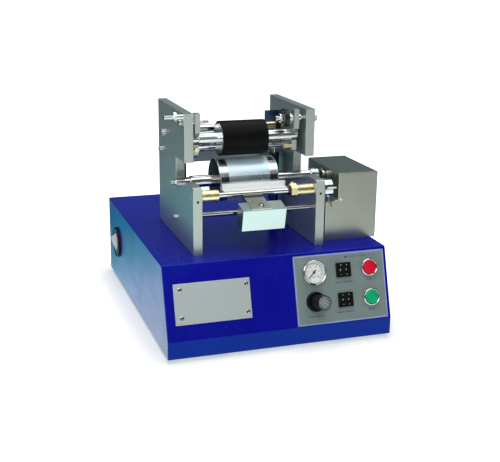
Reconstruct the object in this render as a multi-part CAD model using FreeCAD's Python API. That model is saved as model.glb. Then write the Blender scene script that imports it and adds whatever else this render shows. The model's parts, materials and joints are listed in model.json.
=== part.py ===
import FreeCAD, Part
import math
import os

# Benchtop roller proofing press. Millimetres, +Z up, +X right, +Y towards the back.
# The model is drawn with X centred, Y measured back from the cabinet's front edge and Z measured
# up from the cabinet's underside. ORIGIN_SHIFT then puts the origin on the table, mid-footprint.

V = FreeCAD.Vector
X_AXIS = V(1, 0, 0)
Y_AXIS = V(0, 1, 0)
Z_AXIS = V(0, 0, 1)

# Cabinet
CABINET_W = 400.0
CABINET_D = 505.0
CABINET_H = 150.0
FASCIA_H = 30.0
SLOPE_RUN = 37.0
SHEET = 2.0
FOLD_R = 3.0
FOOT_H = 8.0
FOOT_R = 12.0
FOOT_X = 110.0
FOOT_Y = (30.0, 475.0)
PANEL_GAP = 0.2
ORIGIN_SHIFT = V(0, -CABINET_D / 2, FOOT_H)

SLOPE_RISE = CABINET_H - FASCIA_H
SLOPE_LENGTH = math.hypot(SLOPE_RUN, SLOPE_RISE)
SLOPE_ANGLE = math.degrees(math.atan2(SLOPE_RISE, SLOPE_RUN))
SLOPE_PLACE = FreeCAD.Placement(V(0, 0, FASCIA_H), FreeCAD.Rotation(X_AXIS, SLOPE_ANGLE))

# Instruments on the slope: x, distance up the slope
PANEL_PLATE_T = 2.0
CONTROL_X = (25.5, 193.5)
CONTROL_S = (1.6, 120.4)
CONTROL_WINDOW_MARGIN = 8.0
GAUGE_AT = (60.5, 91.0)
GAUGE_R = 21.5
GAUGE_BORE_R = 18.5
NEEDLE_REST_DEG = 225.0
REGULATOR_AT = (60.5, 41.0)
KNOB_R = 12.5
KNOB_TIP = 43.0
KNOB_FLUTES = 18
SELECTOR_W = 26.6
SELECTOR_S = 24.4
SELECTOR_X = 115.4
SELECTOR_ROWS = (90.8, 39.6)
WHEEL_R = 10.0
WHEEL_T = 6.0
WHEEL_DEPTH = -6.0
WHEEL_OFFSET = 5.4
BUTTON_X = 163.3
STOP_S = 91.0
START_S = 39.7
BEZEL_R = 15.4
BARREL_R = 13.2
BUTTON_BORE_R = 12.3
CAP_R = 12.0
COVER_X = (-184.5, -53.8)
COVER_S = (26.3, 93.7)
COVER_SCREW_INSET = 10.4
COVER_SCREW_INSET_RIGHT = 7.4

# Isolator switch on the left side
ISOLATOR = V(-CABINET_W / 2, 419, 79)
ISOLATOR_R = 30.0
SPINDLE_R = 5.8

# Rear fittings
INLET_AT = (-130.0, 62.0)
AIR_AT = (120.0, 62.0)
AIR_BORE_R = 3.05

# Side plates
PLATE_T = 16.0
LEFT_OUTER = -136.5
LEFT_INNER = LEFT_OUTER + PLATE_T
RIGHT_INNER = 82.0
RIGHT_OUTER = RIGHT_INNER + PLATE_T
PLATE_FRONT = 73.0
PLATE_BACK = 316.0
PLATE_TOP = 379.5
PLATE_EDGE = 0.6
SHELF_TOP = 265.0
SHELF_FRONT = 262.5
THROAT_BACK = 187.0
THROAT_TOP = 296.5
UPPER_FRONT = 128.0
GUARD_HOLE_R = 2.1
GUARD_HOLE_DEPTH = 7.0
GUARD_HOLE_Z = 241.7

# Rotating parts
CYLINDER = V(0, 157, 257)
CYLINDER_R = 38.1
ENGRAVED_T = 0.4
CYLINDER_X = (-76.0, 30.0)
CYLINDER_SHAFT_R = 8.5
SHOULDER_R = 10.5
SEAT_CLEARANCE = 0.05
ROLLER = V(0, 157, 330.5)
ROLLER_R = 30.0
ROLLER_X = (-68.0, 13.5)
ROLLER_SHAFT_R = 11.0
JOURNAL_R = 7.95
PIVOT = V(0, 276.5, 323.5)
PIVOT_R = 5.0
STOP_BOLT = V(0, 145.6, 362.5)
STOP_BOLT_R = 3.0
STOP_CLEARANCE = 0.7
ADJUSTER_X = (47.5, 53.0)
ADJUSTER_R = 16.0
ADJUSTER_NOTCHES = 12
PRESS_TRAVEL_DEG = 2.2
LOCK_STUD = V(0, 134, 374)
STUD_R = 3.4
TIE_RODS = (V(0, 89, 216), V(0, 193, 186))
STAY_SCREW = V(0, 296, 290)

# Carriage
ARM_T = 9.5
LEFT_ARM = (-115.5, -106.0)
RIGHT_ARM = (63.5, 73.0)
UPPER_ROD = V(0, 208, 340)
LOWER_ROD = V(0, 200, 305)
ROD_PIN = V(0, 250, 311)

# Air cylinders
AIR_BODY_R = 9.2
AIR_BODY_TOP = 280.0
PISTON_R = 4.0
FORK_WALL = 3.6
FORK_GAP = 0.4

# Blade and weight
BLADE_SHAFT = V(0, 88, 247.5)
BLADE_SHAFT_R = 4.5
BUSH_R = 10.0
LEFT_BUSH_R = 7.0
RIGHT_BUSH_R = 8.0
LEFT_BUSH_END = LEFT_OUTER + 3.0
HUB_R = 16.0
HUB_END = 113.0
WEIGHT_TILT = 13.0
WEIGHT_EDGE = V(0, 40, 229.6)
WEIGHT_X = (-60.0, 16.0)
WEIGHT_D = 31.0
WEIGHT_H = 38.0
BRACKET_X = (-45.0, -11.0)

# Drive housing
HOUSING_X = (108.0, 207.0)
HOUSING_Y = (93.0, 237.0)
HOUSING_Z = (150.0, 270.0)
STEP_X = 132.0
STEP_Z = 221.0
STEP_R = 8.0
HOUSING_SHEET = 1.5
MOTOR = V(0, 157, 182)
MOTOR_R = 24.0
MOTOR_PULLEY_R = 12.0
SHAFT_PULLEY_R = 9.0
BELT_X = (170.0, 180.0)
BELT_T = 1.6
BELT_CLEARANCE = 0.3
DRIVE_SHAFT_R = 6.0
BRACKET_PLATE_X = (150.0, 162.0)


def box(x, y, z):
    """A box from three (low, high) pairs."""
    corner = V(x[0], y[0], z[0])
    return Part.makeBox(x[1] - x[0], y[1] - y[0], z[1] - z[0], corner)


def rod_x(radius, x, centre):
    """A round bar along X, with its axis through centre."""
    return Part.makeCylinder(radius, x[1] - x[0], V(x[0], centre.y, centre.z), X_AXIS)


def rod_y(radius, y, x, z):
    """A round bar along Y."""
    return Part.makeCylinder(radius, y[1] - y[0], V(x, y[0], z), Y_AXIS)


def rod_z(radius, z, x, y):
    """A round bar along Z."""
    return Part.makeCylinder(radius, z[1] - z[0], V(x, y, z[0]), Z_AXIS)


def tube_x(outer, inner, x, centre):
    return rod_x(outer, x, centre).cut(rod_x(inner, x, centre))


def hex_x(across_flats, x, centre):
    """A hexagon prism along X, one corner up."""
    radius = across_flats / math.sqrt(3)
    corners = []
    for k in range(7):
        turn = math.radians(60 * k)
        corners.append(V(x[0], centre.y + radius * math.sin(turn), centre.z + radius * math.cos(turn)))
    return Part.Face(Part.makePolygon(corners)).extrude(V(x[1] - x[0], 0, 0))


def prism_x(points, x):
    """A prism along X from an outline of (y, z) points."""
    corners = [V(x[0], y, z) for y, z in points]
    return Part.Face(Part.makePolygon(corners + corners[:1])).extrude(V(x[1] - x[0], 0, 0))


def prism_y(points, y):
    """A prism along Y from an outline of (x, z) points."""
    corners = [V(px, y[0], pz) for px, pz in points]
    return Part.Face(Part.makePolygon(corners + corners[:1])).extrude(V(0, y[1] - y[0], 0))


def fuse(*shapes):
    """One solid from several that touch or overlap."""
    return shapes[0].multiFuse(list(shapes[1:])).removeSplitter()


def cut(shape, *tools):
    return shape.cut(list(tools))


def on_slope(shape):
    """Carry a shape from slope coordinates (x, up the slope, outwards) to the cabinet."""
    return shape.transformed(SLOPE_PLACE.toMatrix())


def tilted(shape):
    """Carry a shape from the weight's own frame to its hanging place."""
    place = FreeCAD.Placement(WEIGHT_EDGE, FreeCAD.Rotation(X_AXIS, WEIGHT_TILT))
    return shape.transformed(place.toMatrix())


def edges_along_x(shape, places):
    """Edges parallel to X through the given (y, z) places."""
    found = []
    for edge in shape.Edges:
        first, last = edge.Vertexes[0].Point, edge.Vertexes[-1].Point
        if abs(first.y - last.y) > 0.01 or abs(first.z - last.z) > 0.01:
            continue
        if any(abs(first.y - y) < 0.1 and abs(first.z - z) < 0.1 for y, z in places):
            found.append(edge)
    return found


def edges_across(shape, axis, place):
    """Edges that lie wholly in the plane where the given axis ("x", "y" or "z") has the given value."""
    return [edge for edge in shape.Edges
            if all(abs(getattr(v.Point, axis) - place) < 0.01 for v in edge.Vertexes)
            and abs(getattr(edge.CenterOfMass, axis) - place) < 0.01]


def broken_edges(shape, x, size):
    """A plate across X with the sharp outline of both faces chamfered."""
    return shape.makeChamfer(size, edges_across(shape, "x", x[0]) + edges_across(shape, "x", x[1]))


def folded_edges(shape, keep_flat):
    """Edges whose middle is not on one of the open sides."""
    return [edge for edge in shape.Edges if not keep_flat(edge.CenterOfMass)]


# ---- cabinet

def cabinet_outline(inset):
    """Side outline of the cabinet, moved in by inset at the front, slope and top."""
    run, rise = SLOPE_RUN / SLOPE_LENGTH, SLOPE_RISE / SLOPE_LENGTH
    low_z = FASCIA_H + (rise * inset - inset) / run
    high_y = (inset + run * (CABINET_H - inset - FASCIA_H)) / rise
    back = CABINET_D + (1 if inset else 0)
    floor = -1 if inset else 0
    top = CABINET_H - inset
    return [(inset, floor), (inset, low_z), (high_y, top), (back, top), (back, floor)]


def cover_screw_places():
    columns = (COVER_X[0] + COVER_SCREW_INSET, COVER_X[1] - COVER_SCREW_INSET_RIGHT)
    rows = (COVER_S[0] + COVER_SCREW_INSET, COVER_S[1] - COVER_SCREW_INSET)
    return [(x, s) for x in columns for s in rows]


def base_cabinet():
    half = CABINET_W / 2
    shell = prism_x(cabinet_outline(0), (-half, half))
    shell = shell.makeFillet(FOLD_R, folded_edges(shell, lambda p: p.y > CABINET_D - 0.1 or p.z < 0.1))
    hollow = prism_x(cabinet_outline(SHEET), (-half + SHEET, half - SHEET))
    margin = CONTROL_WINDOW_MARGIN
    window = box((CONTROL_X[0] + margin, CONTROL_X[1] - margin),
                 (CONTROL_S[0] + margin, CONTROL_S[1] - margin), (-2 * SHEET, SHEET))
    holes = [rod_z(2.2, (-2 * SHEET, SHEET), x, s) for x, s in cover_screw_places()]
    spindle = rod_x(SPINDLE_R + 0.4, (-half - 1, -half + 2 * SHEET), ISOLATOR)
    return cut(shell, hollow, on_slope(window), spindle, *[on_slope(hole) for hole in holes])


def rear_panel():
    half = CABINET_W / 2 - SHEET - PANEL_GAP
    y = (CABINET_D - SHEET, CABINET_D)
    panel = box((-half, half), y, (SHEET + PANEL_GAP, CABINET_H - SHEET - PANEL_GAP))
    x, z = INLET_AT
    inlet = box((x - 14, x + 14), (y[0] - 1, y[1] + 1), (z - 24, z + 24))
    air = rod_y(5.2, (y[0] - 1, y[1] + 1), *AIR_AT)
    slots = [box((-42 + 12 * k, -38 + 12 * k), (y[0] - 1, y[1] + 1), (85, 125)) for k in range(8)]
    return cut(panel, inlet, air, *slots)


def bottom_plate():
    half = CABINET_W / 2 - SHEET - PANEL_GAP
    return box((-half, half), (SHEET + PANEL_GAP, CABINET_D - PANEL_GAP), (0, SHEET))


def rubber_feet():
    feet = []
    for x in (-FOOT_X, FOOT_X):
        for y in FOOT_Y:
            foot = Part.makeCone(FOOT_R - 2, FOOT_R, FOOT_H, V(x, y, -FOOT_H))
            feet.append(foot)
    return Part.makeCompound(feet)


def drive_controller():
    body = box((-120, 20), (260, 400), (SHEET, 50))
    fins = [box((-116 + 12 * k, -112 + 12 * k), (262, 398), (50, 66)) for k in range(12)]
    return fuse(body, *fins)


# ---- slope instruments

def blank_cover_plate():
    plate = box(COVER_X, COVER_S, (0, PANEL_PLATE_T))
    plate = plate.makeChamfer(0.5, edges_across(plate, "z", PANEL_PLATE_T))
    holes = [rod_z(2.2, (-1, PANEL_PLATE_T + 1), x, s) for x, s in cover_screw_places()]
    return on_slope(cut(plate, *holes))


def panel_screws():
    """Button-head screws of the blank cover, and the one in the drive housing."""
    screws = [housing_screw()]
    for x, s in cover_screw_places():
        head = rod_z(4.3, (PANEL_PLATE_T, PANEL_PLATE_T + 2.4), x, s)
        head = head.makeFillet(1.2, [e for e in head.Edges if e.CenterOfMass.z > PANEL_PLATE_T + 2.3])
        socket = rod_z(1.7, (PANEL_PLATE_T + 1.0, PANEL_PLATE_T + 3), x, s)
        screws.append(on_slope(cut(fuse(head, rod_z(2.0, (-6, PANEL_PLATE_T), x, s)), socket)))
    return Part.makeCompound(screws)


def selector_cavity(s):
    half_w, half_s = SELECTOR_W / 2 - 1.2, SELECTOR_S / 2 - 1.0
    x = (SELECTOR_X - half_w, SELECTOR_X + half_w)
    return box(x, (s - half_s, s + half_s), (-1, PANEL_PLATE_T + 1))


def control_panel_plate():
    plate = box(CONTROL_X, CONTROL_S, (0, PANEL_PLATE_T))
    plate = plate.makeChamfer(0.4, edges_across(plate, "z", PANEL_PLATE_T))
    through = (-1, PANEL_PLATE_T + 1)
    gauge = rod_z(19.1, through, *GAUGE_AT)
    regulator = rod_z(12.2, through, *REGULATOR_AT)
    buttons = [rod_z(BARREL_R + 0.1, through, BUTTON_X, s) for s in (STOP_S, START_S)]
    selectors = [selector_cavity(s) for s in SELECTOR_ROWS]
    return on_slope(cut(plate, gauge, regulator, *buttons, *selectors))


def gauge_case():
    rim = rod_z(GAUGE_R, (PANEL_PLATE_T, 10), *GAUGE_AT)
    rim = rim.makeFillet(2.0, [e for e in rim.Edges if e.CenterOfMass.z > 9.9])
    body = rod_z(19.0, (-22, PANEL_PLATE_T), *GAUGE_AT)
    return on_slope(cut(fuse(rim, body), rod_z(GAUGE_BORE_R, (3.4, 11), *GAUGE_AT)))


def gauge_dial():
    dial = rod_z(GAUGE_BORE_R - 0.1, (3.4, 4.2), *GAUGE_AT)
    return on_slope(cut(dial, rod_z(0.9, (3, 5), *GAUGE_AT)))


def gauge_needle():
    hub = rod_z(1.9, (4.9, 6.6), *GAUGE_AT)
    spindle = rod_z(0.8, (4.3, 4.9), *GAUGE_AT)
    pointer = Part.Face(Part.makePolygon([V(-5.5, -1.1, 5.3), V(14.5, -0.25, 5.3), V(14.5, 0.25, 5.3),
                                          V(-5.5, 1.1, 5.3), V(-5.5, -1.1, 5.3)])).extrude(V(0, 0, 0.7))
    pointer.rotate(V(0, 0, 0), Z_AXIS, NEEDLE_REST_DEG)
    pointer.translate(V(GAUGE_AT[0], GAUGE_AT[1], 0))
    return on_slope(fuse(hub, spindle, pointer))


def gauge_lens():
    return on_slope(rod_z(GAUGE_BORE_R - 0.1, (8.0, 9.4), *GAUGE_AT))


def regulator_body():
    barrel = rod_z(12.0, (-48, PANEL_PLATE_T), *REGULATOR_AT)
    flange = rod_z(17.0, (PANEL_PLATE_T, 7.0), *REGULATOR_AT)
    flange = flange.makeFillet(1.2, [e for e in flange.Edges if e.CenterOfMass.z > 6.9])
    spigot = rod_z(8.0, (7.0, 14.0), *REGULATOR_AT)
    return on_slope(fuse(barrel, flange, spigot))


def regulator_knob():
    knob = rod_z(KNOB_R, (8.0, KNOB_TIP), *REGULATOR_AT)
    knob = knob.makeFillet(1.5, [e for e in knob.Edges if e.CenterOfMass.z > KNOB_TIP - 0.1])
    cuts = [rod_z(8.3, (7.0, 15.0), *REGULATOR_AT)]
    for k in range(KNOB_FLUTES):
        turn = 2 * math.pi * k / KNOB_FLUTES
        x = REGULATOR_AT[0] + (KNOB_R + 0.6) * math.cos(turn)
        s = REGULATOR_AT[1] + (KNOB_R + 0.6) * math.sin(turn)
        cuts.append(rod_z(1.2, (16.0, KNOB_TIP + 1), x, s))
    return on_slope(cut(knob, *cuts))


def selector_wheel_x(side):
    """Middle of one digit wheel, side -1 left or +1 right."""
    return SELECTOR_X + side * WHEEL_OFFSET


def selector_housing(s):
    face = box((SELECTOR_X - SELECTOR_W / 2, SELECTOR_X + SELECTOR_W / 2),
               (s - SELECTOR_S / 2, s + SELECTOR_S / 2), (PANEL_PLATE_T, 6.0))
    half_w, half_s = SELECTOR_W / 2 - 1.3, SELECTOR_S / 2 - 1.1
    body = box((SELECTOR_X - half_w, SELECTOR_X + half_w), (s - half_s, s + half_s), (-18, PANEL_PLATE_T))
    cuts = []
    for side in (-1, 1):
        x = selector_wheel_x(side)
        half = WHEEL_T / 2 + 0.3
        cuts.append(rod_x(WHEEL_R + 0.4, (x - half, x + half), V(0, s, WHEEL_DEPTH)))
        cuts.append(box((x - 2.5, x + 2.5), (s - 3.5, s + 3.5), (0, 7)))
        cuts.extend(rod_z(1.6, (5.2, 7), x, s + offset) for offset in (-8, 8))
    return on_slope(cut(fuse(face, body), *cuts))


def selector_housings():
    return Part.makeCompound([selector_housing(s) for s in SELECTOR_ROWS])


def digit_wheel(side, s):
    x = selector_wheel_x(side)
    wheel = rod_x(WHEEL_R, (x - WHEEL_T / 2, x + WHEEL_T / 2), V(0, s, WHEEL_DEPTH))
    return on_slope(wheel)


def button_bezels():
    bezels = []
    for s in (STOP_S, START_S):
        ring = Part.makeCone(BEZEL_R, BEZEL_R - 2.2, 4.5, V(BUTTON_X, s, PANEL_PLATE_T))
        barrel = rod_z(BARREL_R, (-26, PANEL_PLATE_T), BUTTON_X, s)
        bore = rod_z(BUTTON_BORE_R, (-12, 7), BUTTON_X, s)
        bezels.append(on_slope(cut(fuse(ring, barrel), bore)))
    return Part.makeCompound(bezels)


def button_cap(s):
    cap = rod_z(CAP_R, (-7, 8.6), BUTTON_X, s)
    return on_slope(cap.makeFillet(1.6, [e for e in cap.Edges if e.CenterOfMass.z > 8.5]))


def isolator_plate():
    x = (ISOLATOR.x - 3.0, ISOLATOR.x)
    return tube_x(ISOLATOR_R, SPINDLE_R + 0.3, x, ISOLATOR)


def isolator_handle():
    """Round boss with a pointer grip that stands out most just above the spindle."""
    face, y, z = ISOLATOR.x - 3.4, ISOLATOR.y, ISOLATOR.z
    outline = [(face, z - 19), (face, z + 17), (face - 9.6, z + 10), (face - 8, z + 2)]
    grip = prism_y(outline, (y - 4.5, y + 4.5))
    grip = grip.makeChamfer(0.7, [e for e in grip.Edges if e.CenterOfMass.x < face - 0.5])
    boss = rod_x(15.0, (face - 1.6, face), ISOLATOR)
    return fuse(boss, grip, rod_x(SPINDLE_R, (face, ISOLATOR.x + 16), ISOLATOR))


# ---- rear fittings

def mains_inlet():
    x, z = INLET_AT
    flange = box((x - 25, x + 25), (CABINET_D, CABINET_D + 3), (z - 16, z + 16))
    body = box((x - 13.8, x + 13.8), (CABINET_D - 26, CABINET_D), (z - 15, z + 15))
    pocket = box((x - 12, x + 12), (CABINET_D - 16, CABINET_D + 4), (z - 8.5, z + 8.5))
    shell = cut(fuse(flange, body), pocket)
    pins = [box((x + dx - 1, x + dx + 1), (CABINET_D - 17, CABINET_D - 2), (z + dz - 2.5, z + dz + 2.5))
            for dx, dz in ((-7, -1.5), (0, 1.5), (7, -1.5))]
    return fuse(shell, *pins)


def air_inlet_fitting():
    x, z = AIR_AT
    stem = rod_y(5.0, (CABINET_D - 14, CABINET_D), x, z)
    body = rod_y(8.5, (CABINET_D, CABINET_D + 14), x, z)
    collar = rod_y(6.2, (CABINET_D + 14, CABINET_D + 26), x, z)
    return cut(fuse(stem, body, collar), rod_y(AIR_BORE_R, (CABINET_D + 12, CABINET_D + 27), x, z))


# ---- frame

def plate_outline():
    """Side plate: a lower arm with the cylinder's seat, an open throat and an upper arm."""
    seat_front = CYLINDER.y - CYLINDER_SHAFT_R - SEAT_CLEARANCE
    return [(PLATE_FRONT, CABINET_H), (PLATE_FRONT, SHELF_FRONT), (PLATE_FRONT + 7, SHELF_TOP),
            (PLATE_FRONT + 49, SHELF_TOP), (seat_front, CYLINDER.z), (THROAT_BACK, CYLINDER.z),
            (THROAT_BACK, THROAT_TOP),
            (UPPER_FRONT, THROAT_TOP), (UPPER_FRONT, PLATE_TOP), (PLATE_BACK, PLATE_TOP),
            (PLATE_BACK, CABINET_H)]


def stop_slot(x):
    """Slot that follows the stop bolt's short arc about the pivot, from rest to full pressure."""
    radius = STOP_BOLT_R + STOP_CLEARANCE
    turn = math.radians(PRESS_TRAVEL_DEG)
    arm = STOP_BOLT - PIVOT
    low = PIVOT + V(0, arm.y * math.cos(turn) - arm.z * math.sin(turn),
                    arm.y * math.sin(turn) + arm.z * math.cos(turn))
    along = (low - STOP_BOLT).normalize()
    side = V(0, along.z, -along.y) * radius
    corners = [STOP_BOLT + side, low + side, low - side, STOP_BOLT - side]
    middle = prism_x([(p.y, p.z) for p in corners], x)
    return fuse(middle, rod_x(radius, x, STOP_BOLT), rod_x(radius, x, low))


def side_plate(x, bush_seat, more_holes=()):
    plate = prism_x(plate_outline(), x)
    corners = [(THROAT_BACK, CYLINDER.z), (THROAT_BACK, THROAT_TOP)]
    plate = plate.makeFillet(3.0, edges_along_x(plate, corners))
    plate = broken_edges(plate, x, PLATE_EDGE)
    middle = (x[0] + x[1]) / 2
    wide = (x[0] - 1, x[1] + 1)
    holes = [rod_x(CYLINDER_SHAFT_R + SEAT_CLEARANCE, wide, CYLINDER), bush_seat,
             rod_x(PIVOT_R, wide, PIVOT), stop_slot(wide),
             rod_y(GUARD_HOLE_R, (PLATE_FRONT - 1, PLATE_FRONT + GUARD_HOLE_DEPTH), middle, GUARD_HOLE_Z)]
    holes.extend(rod_x(3.0, wide, place) for place in TIE_RODS[1:] + (STAY_SCREW,))
    return cut(plate, *holes, *more_holes)


def left_side_plate():
    """The left plate's bush seat is blind, and it carries the lock stud."""
    seat = rod_x(LEFT_BUSH_R + SEAT_CLEARANCE, (LEFT_BUSH_END, LEFT_INNER + 1), BLADE_SHAFT)
    stud_hole = rod_x(STUD_R, (LEFT_OUTER - 1, LEFT_INNER + 1), LOCK_STUD)
    return side_plate((LEFT_OUTER, LEFT_INNER), seat, (stud_hole,))


def right_side_plate():
    seat = rod_x(RIGHT_BUSH_R + SEAT_CLEARANCE, (RIGHT_INNER - 1, RIGHT_OUTER + 1), BLADE_SHAFT)
    return side_plate((RIGHT_INNER, RIGHT_OUTER), seat)


def tie_rods():
    front = rod_x(4.0, (LEFT_INNER, RIGHT_INNER), TIE_RODS[0])
    rear = rod_x(5.0, (LEFT_INNER, RIGHT_INNER), TIE_RODS[1])
    ends = [rod_x(3.0, (LEFT_INNER - 1, LEFT_INNER + 12), TIE_RODS[1]),
            rod_x(3.0, (RIGHT_INNER - 12, RIGHT_INNER + 1), TIE_RODS[1])]
    return Part.makeCompound([front, cut(rear, *ends)])


def rear_stay_plate():
    plate = box((LEFT_INNER, RIGHT_INNER), (292, 300), (262, 315))
    ends = [rod_x(3.0, (LEFT_INNER - 1, LEFT_INNER + 12), STAY_SCREW),
            rod_x(3.0, (RIGHT_INNER - 12, RIGHT_INNER + 1), STAY_SCREW)]
    return cut(plate, *ends)


def cap_screw(face, inward, place, head_r, shank_r, length):
    """A screw whose head stands outside a plate face; inward is +1 or -1 along X."""
    head = sorted((face, face - inward * 4.5))
    shank = sorted((face, face + inward * length))
    socket = sorted((face - inward * 2.5, face - inward * 5))
    solid = fuse(rod_x(head_r, head, place), rod_x(shank_r, shank, place))
    return cut(solid, rod_x(head_r * 0.45, socket, place))


def frame_screws():
    """Outer screws of both side plates, their pivot screws, and the lock stud on the left."""
    screws = []
    for face, inward, arm_inside in ((LEFT_OUTER, 1, LEFT_ARM[1]), (RIGHT_OUTER, -1, RIGHT_ARM[0])):
        for place in TIE_RODS[1:] + (STAY_SCREW,):
            screws.append(cap_screw(face, inward, place, 5.0, 3.0, PLATE_T + 10))
        screws.append(cap_screw(face, inward, PIVOT, 7.0, PIVOT_R, abs(arm_inside - face) + 0.5))
    sleeve = rod_x(4.5, (LEFT_OUTER - 12, LEFT_OUTER), LOCK_STUD)
    stud = fuse(sleeve, hex_x(14, (LEFT_OUTER - 17, LEFT_OUTER - 12), LOCK_STUD),
                rod_x(STUD_R, (LEFT_OUTER - 33, LEFT_INNER + 2), LOCK_STUD))
    return Part.makeCompound(screws + [stud])


def blade_shaft_bushes():
    left = fuse(rod_x(LEFT_BUSH_R, (LEFT_BUSH_END, LEFT_INNER), BLADE_SHAFT),
                rod_x(BUSH_R, (LEFT_INNER, -90), BLADE_SHAFT))
    right = fuse(rod_x(RIGHT_BUSH_R, (RIGHT_INNER, RIGHT_OUTER), BLADE_SHAFT),
                 rod_x(BUSH_R, (50, RIGHT_INNER), BLADE_SHAFT))
    bore = rod_x(BLADE_SHAFT_R + SEAT_CLEARANCE, (LEFT_OUTER - 1, RIGHT_OUTER + 1), BLADE_SHAFT)
    return Part.makeCompound([left.cut(bore), right.cut(bore)])


# ---- air cylinders and carriage

def arm_middle(arm):
    return (arm[0] + arm[1]) / 2


def air_cylinders():
    bodies = []
    for arm in (LEFT_ARM, RIGHT_ARM):
        x, y = arm_middle(arm), ROD_PIN.y
        body = rod_z(AIR_BODY_R, (CABINET_H, AIR_BODY_TOP), x, y)
        spans = [(z, z + 1.2) for z in (CABINET_H + 12, AIR_BODY_TOP - 14)]
        grooves = [rod_z(AIR_BODY_R + 1, z, x, y).cut(rod_z(AIR_BODY_R - 0.8, z, x, y)) for z in spans]
        bore = rod_z(PISTON_R + 0.05, (CABINET_H + 60, AIR_BODY_TOP + 1), x, y)
        bodies.append(cut(body, bore, *grooves))
    return Part.makeCompound(bodies)


def piston_rod(arm):
    """Rod, fork and cross pin that carry one arm."""
    x, y, z = arm_middle(arm), ROD_PIN.y, ROD_PIN.z
    half = ARM_T / 2 + FORK_GAP + FORK_WALL
    rod = rod_z(PISTON_R, (CABINET_H + 70, 291), x, y)
    fork = box((x - half, x + half), (y - 6.5, y + 6.5), (290, z + 6.5))
    slot = box((arm[0] - FORK_GAP, arm[1] + FORK_GAP), (y - 8, y + 8), (296, z + 8))
    pin = rod_x(3.0, (x - half, x + half), ROD_PIN)
    return fuse(rod, fork.cut(slot), pin)


def piston_rods():
    return Part.makeCompound([piston_rod(LEFT_ARM), piston_rod(RIGHT_ARM)])


def arm_outline():
    """Arm from the pivot to the roller's open slot, with a post at the front for the stop bolt."""
    slot_low, slot_high = ROLLER.z - 8, ROLLER.z + 8
    return [(148, 305), (148, slot_low), (ROLLER.y, slot_low), (ROLLER.y, slot_high), (145, slot_high),
            (138, 344), (138, 377.5), (151.5, 377.5), (154, 364), (200, 357), (250, 345), (289.5, 337),
            (289.5, PIVOT.z), (276.5, 310.5), (250, 298), (160, 298)]


def carriage_arm(arm):
    plate = broken_edges(prism_x(arm_outline(), arm), arm, 0.5)
    boss = rod_x(13.0, arm, PIVOT)
    wide = (arm[0] - 1, arm[1] + 1)
    sizes = ((8.0, ROLLER), (PIVOT_R + 0.05, PIVOT), (STOP_BOLT_R, STOP_BOLT), (4.0, ROD_PIN))
    holes = [rod_x(radius, wide, place) for radius, place in sizes]
    return cut(fuse(plate, boss), *holes)


def left_arm():
    return carriage_arm(LEFT_ARM)


def right_arm():
    return carriage_arm(RIGHT_ARM)


def carriage_rods():
    x = (LEFT_ARM[1], RIGHT_ARM[0])
    return Part.makeCompound([rod_x(6.5, x, UPPER_ROD), rod_x(4.5, x, LOWER_ROD)])


def carriage_brasses():
    """Sleeve on the upper rod, and the small brass keepers of the roller's open slots."""
    sleeve = tube_x(9.5, 6.5, (32, RIGHT_ARM[0]), UPPER_ROD)
    right = fuse(rod_x(4.2, (48, RIGHT_ARM[0]), V(0, 149, 312)),
                 rod_x(5.4, (RIGHT_ARM[0] - 8, RIGHT_ARM[0]), V(0, 152, 311)))
    left = rod_y(4.0, (141, 148), arm_middle(LEFT_ARM), 315)
    return Part.makeCompound([sleeve, right, left])


def bracket_plate():
    sheet = box((23, RIGHT_ARM[0]), (176, 179), (351.5, 372))
    flange = box((RIGHT_ARM[0] - 3, RIGHT_ARM[0]), (176, 194), (351.5, 372))
    return fuse(sheet, flange)


def stop_bolts():
    left_nut = hex_x(11, (LEFT_ARM[1], LEFT_ARM[1] + 5.5), STOP_BOLT)
    left = fuse(rod_x(5.5, (LEFT_OUTER - 5, LEFT_OUTER - 0.5), STOP_BOLT),
                rod_x(STOP_BOLT_R, (LEFT_OUTER - 0.5, -89.5), STOP_BOLT), left_nut,
                rod_x(5.5, (LEFT_ARM[0] - 3, LEFT_ARM[0]), STOP_BOLT))
    right = fuse(hex_x(13, (RIGHT_OUTER + 0.5, RIGHT_OUTER + 9), STOP_BOLT),
                 rod_x(STOP_BOLT_R, (31, RIGHT_OUTER + 0.5), STOP_BOLT),
                 rod_x(4.2, (31, 37), STOP_BOLT),
                 hex_x(13, (39, 45), STOP_BOLT), rod_x(8.5, (45, 46.5), STOP_BOLT),
                 hex_x(13, (54, 60), STOP_BOLT), rod_x(6.0, (RIGHT_ARM[1], RIGHT_ARM[1] + 4), STOP_BOLT))
    return Part.makeCompound([left, right])


def adjusting_wheel():
    """Knurled wheel on the right stop bolt, with a spring seat behind it."""
    wide = (ADJUSTER_X[0] - 1, ADJUSTER_X[1] + 1)
    reach = ADJUSTER_R + 1.1
    notches = []
    for k in range(ADJUSTER_NOTCHES):
        turn = math.radians(360 * k / ADJUSTER_NOTCHES)
        place = STOP_BOLT + V(0, reach * math.sin(turn), reach * math.cos(turn))
        notches.append(rod_x(2.4, wide, place))
    bore = rod_x(STOP_BOLT_R + 0.05, wide, STOP_BOLT)
    return cut(rod_x(ADJUSTER_R, ADJUSTER_X, STOP_BOLT), bore, *notches)


# ---- impression roller

def impression_roller_core():
    drum = rod_x(ROLLER_R - 3.0, (ROLLER_X[0] - 0.6, ROLLER_X[1] + 0.6), ROLLER)
    shaft = rod_x(ROLLER_SHAFT_R, (LEFT_ARM[1] + 0.5, RIGHT_ARM[0] - 0.5), ROLLER)
    journals = rod_x(JOURNAL_R, (LEFT_ARM[0] - 2, RIGHT_ARM[1] + 2), ROLLER)
    return fuse(drum, shaft, journals)


def rubber_cover():
    return tube_x(ROLLER_R, ROLLER_R - 3.0, ROLLER_X, ROLLER)


# ---- plate cylinder and drive

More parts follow.
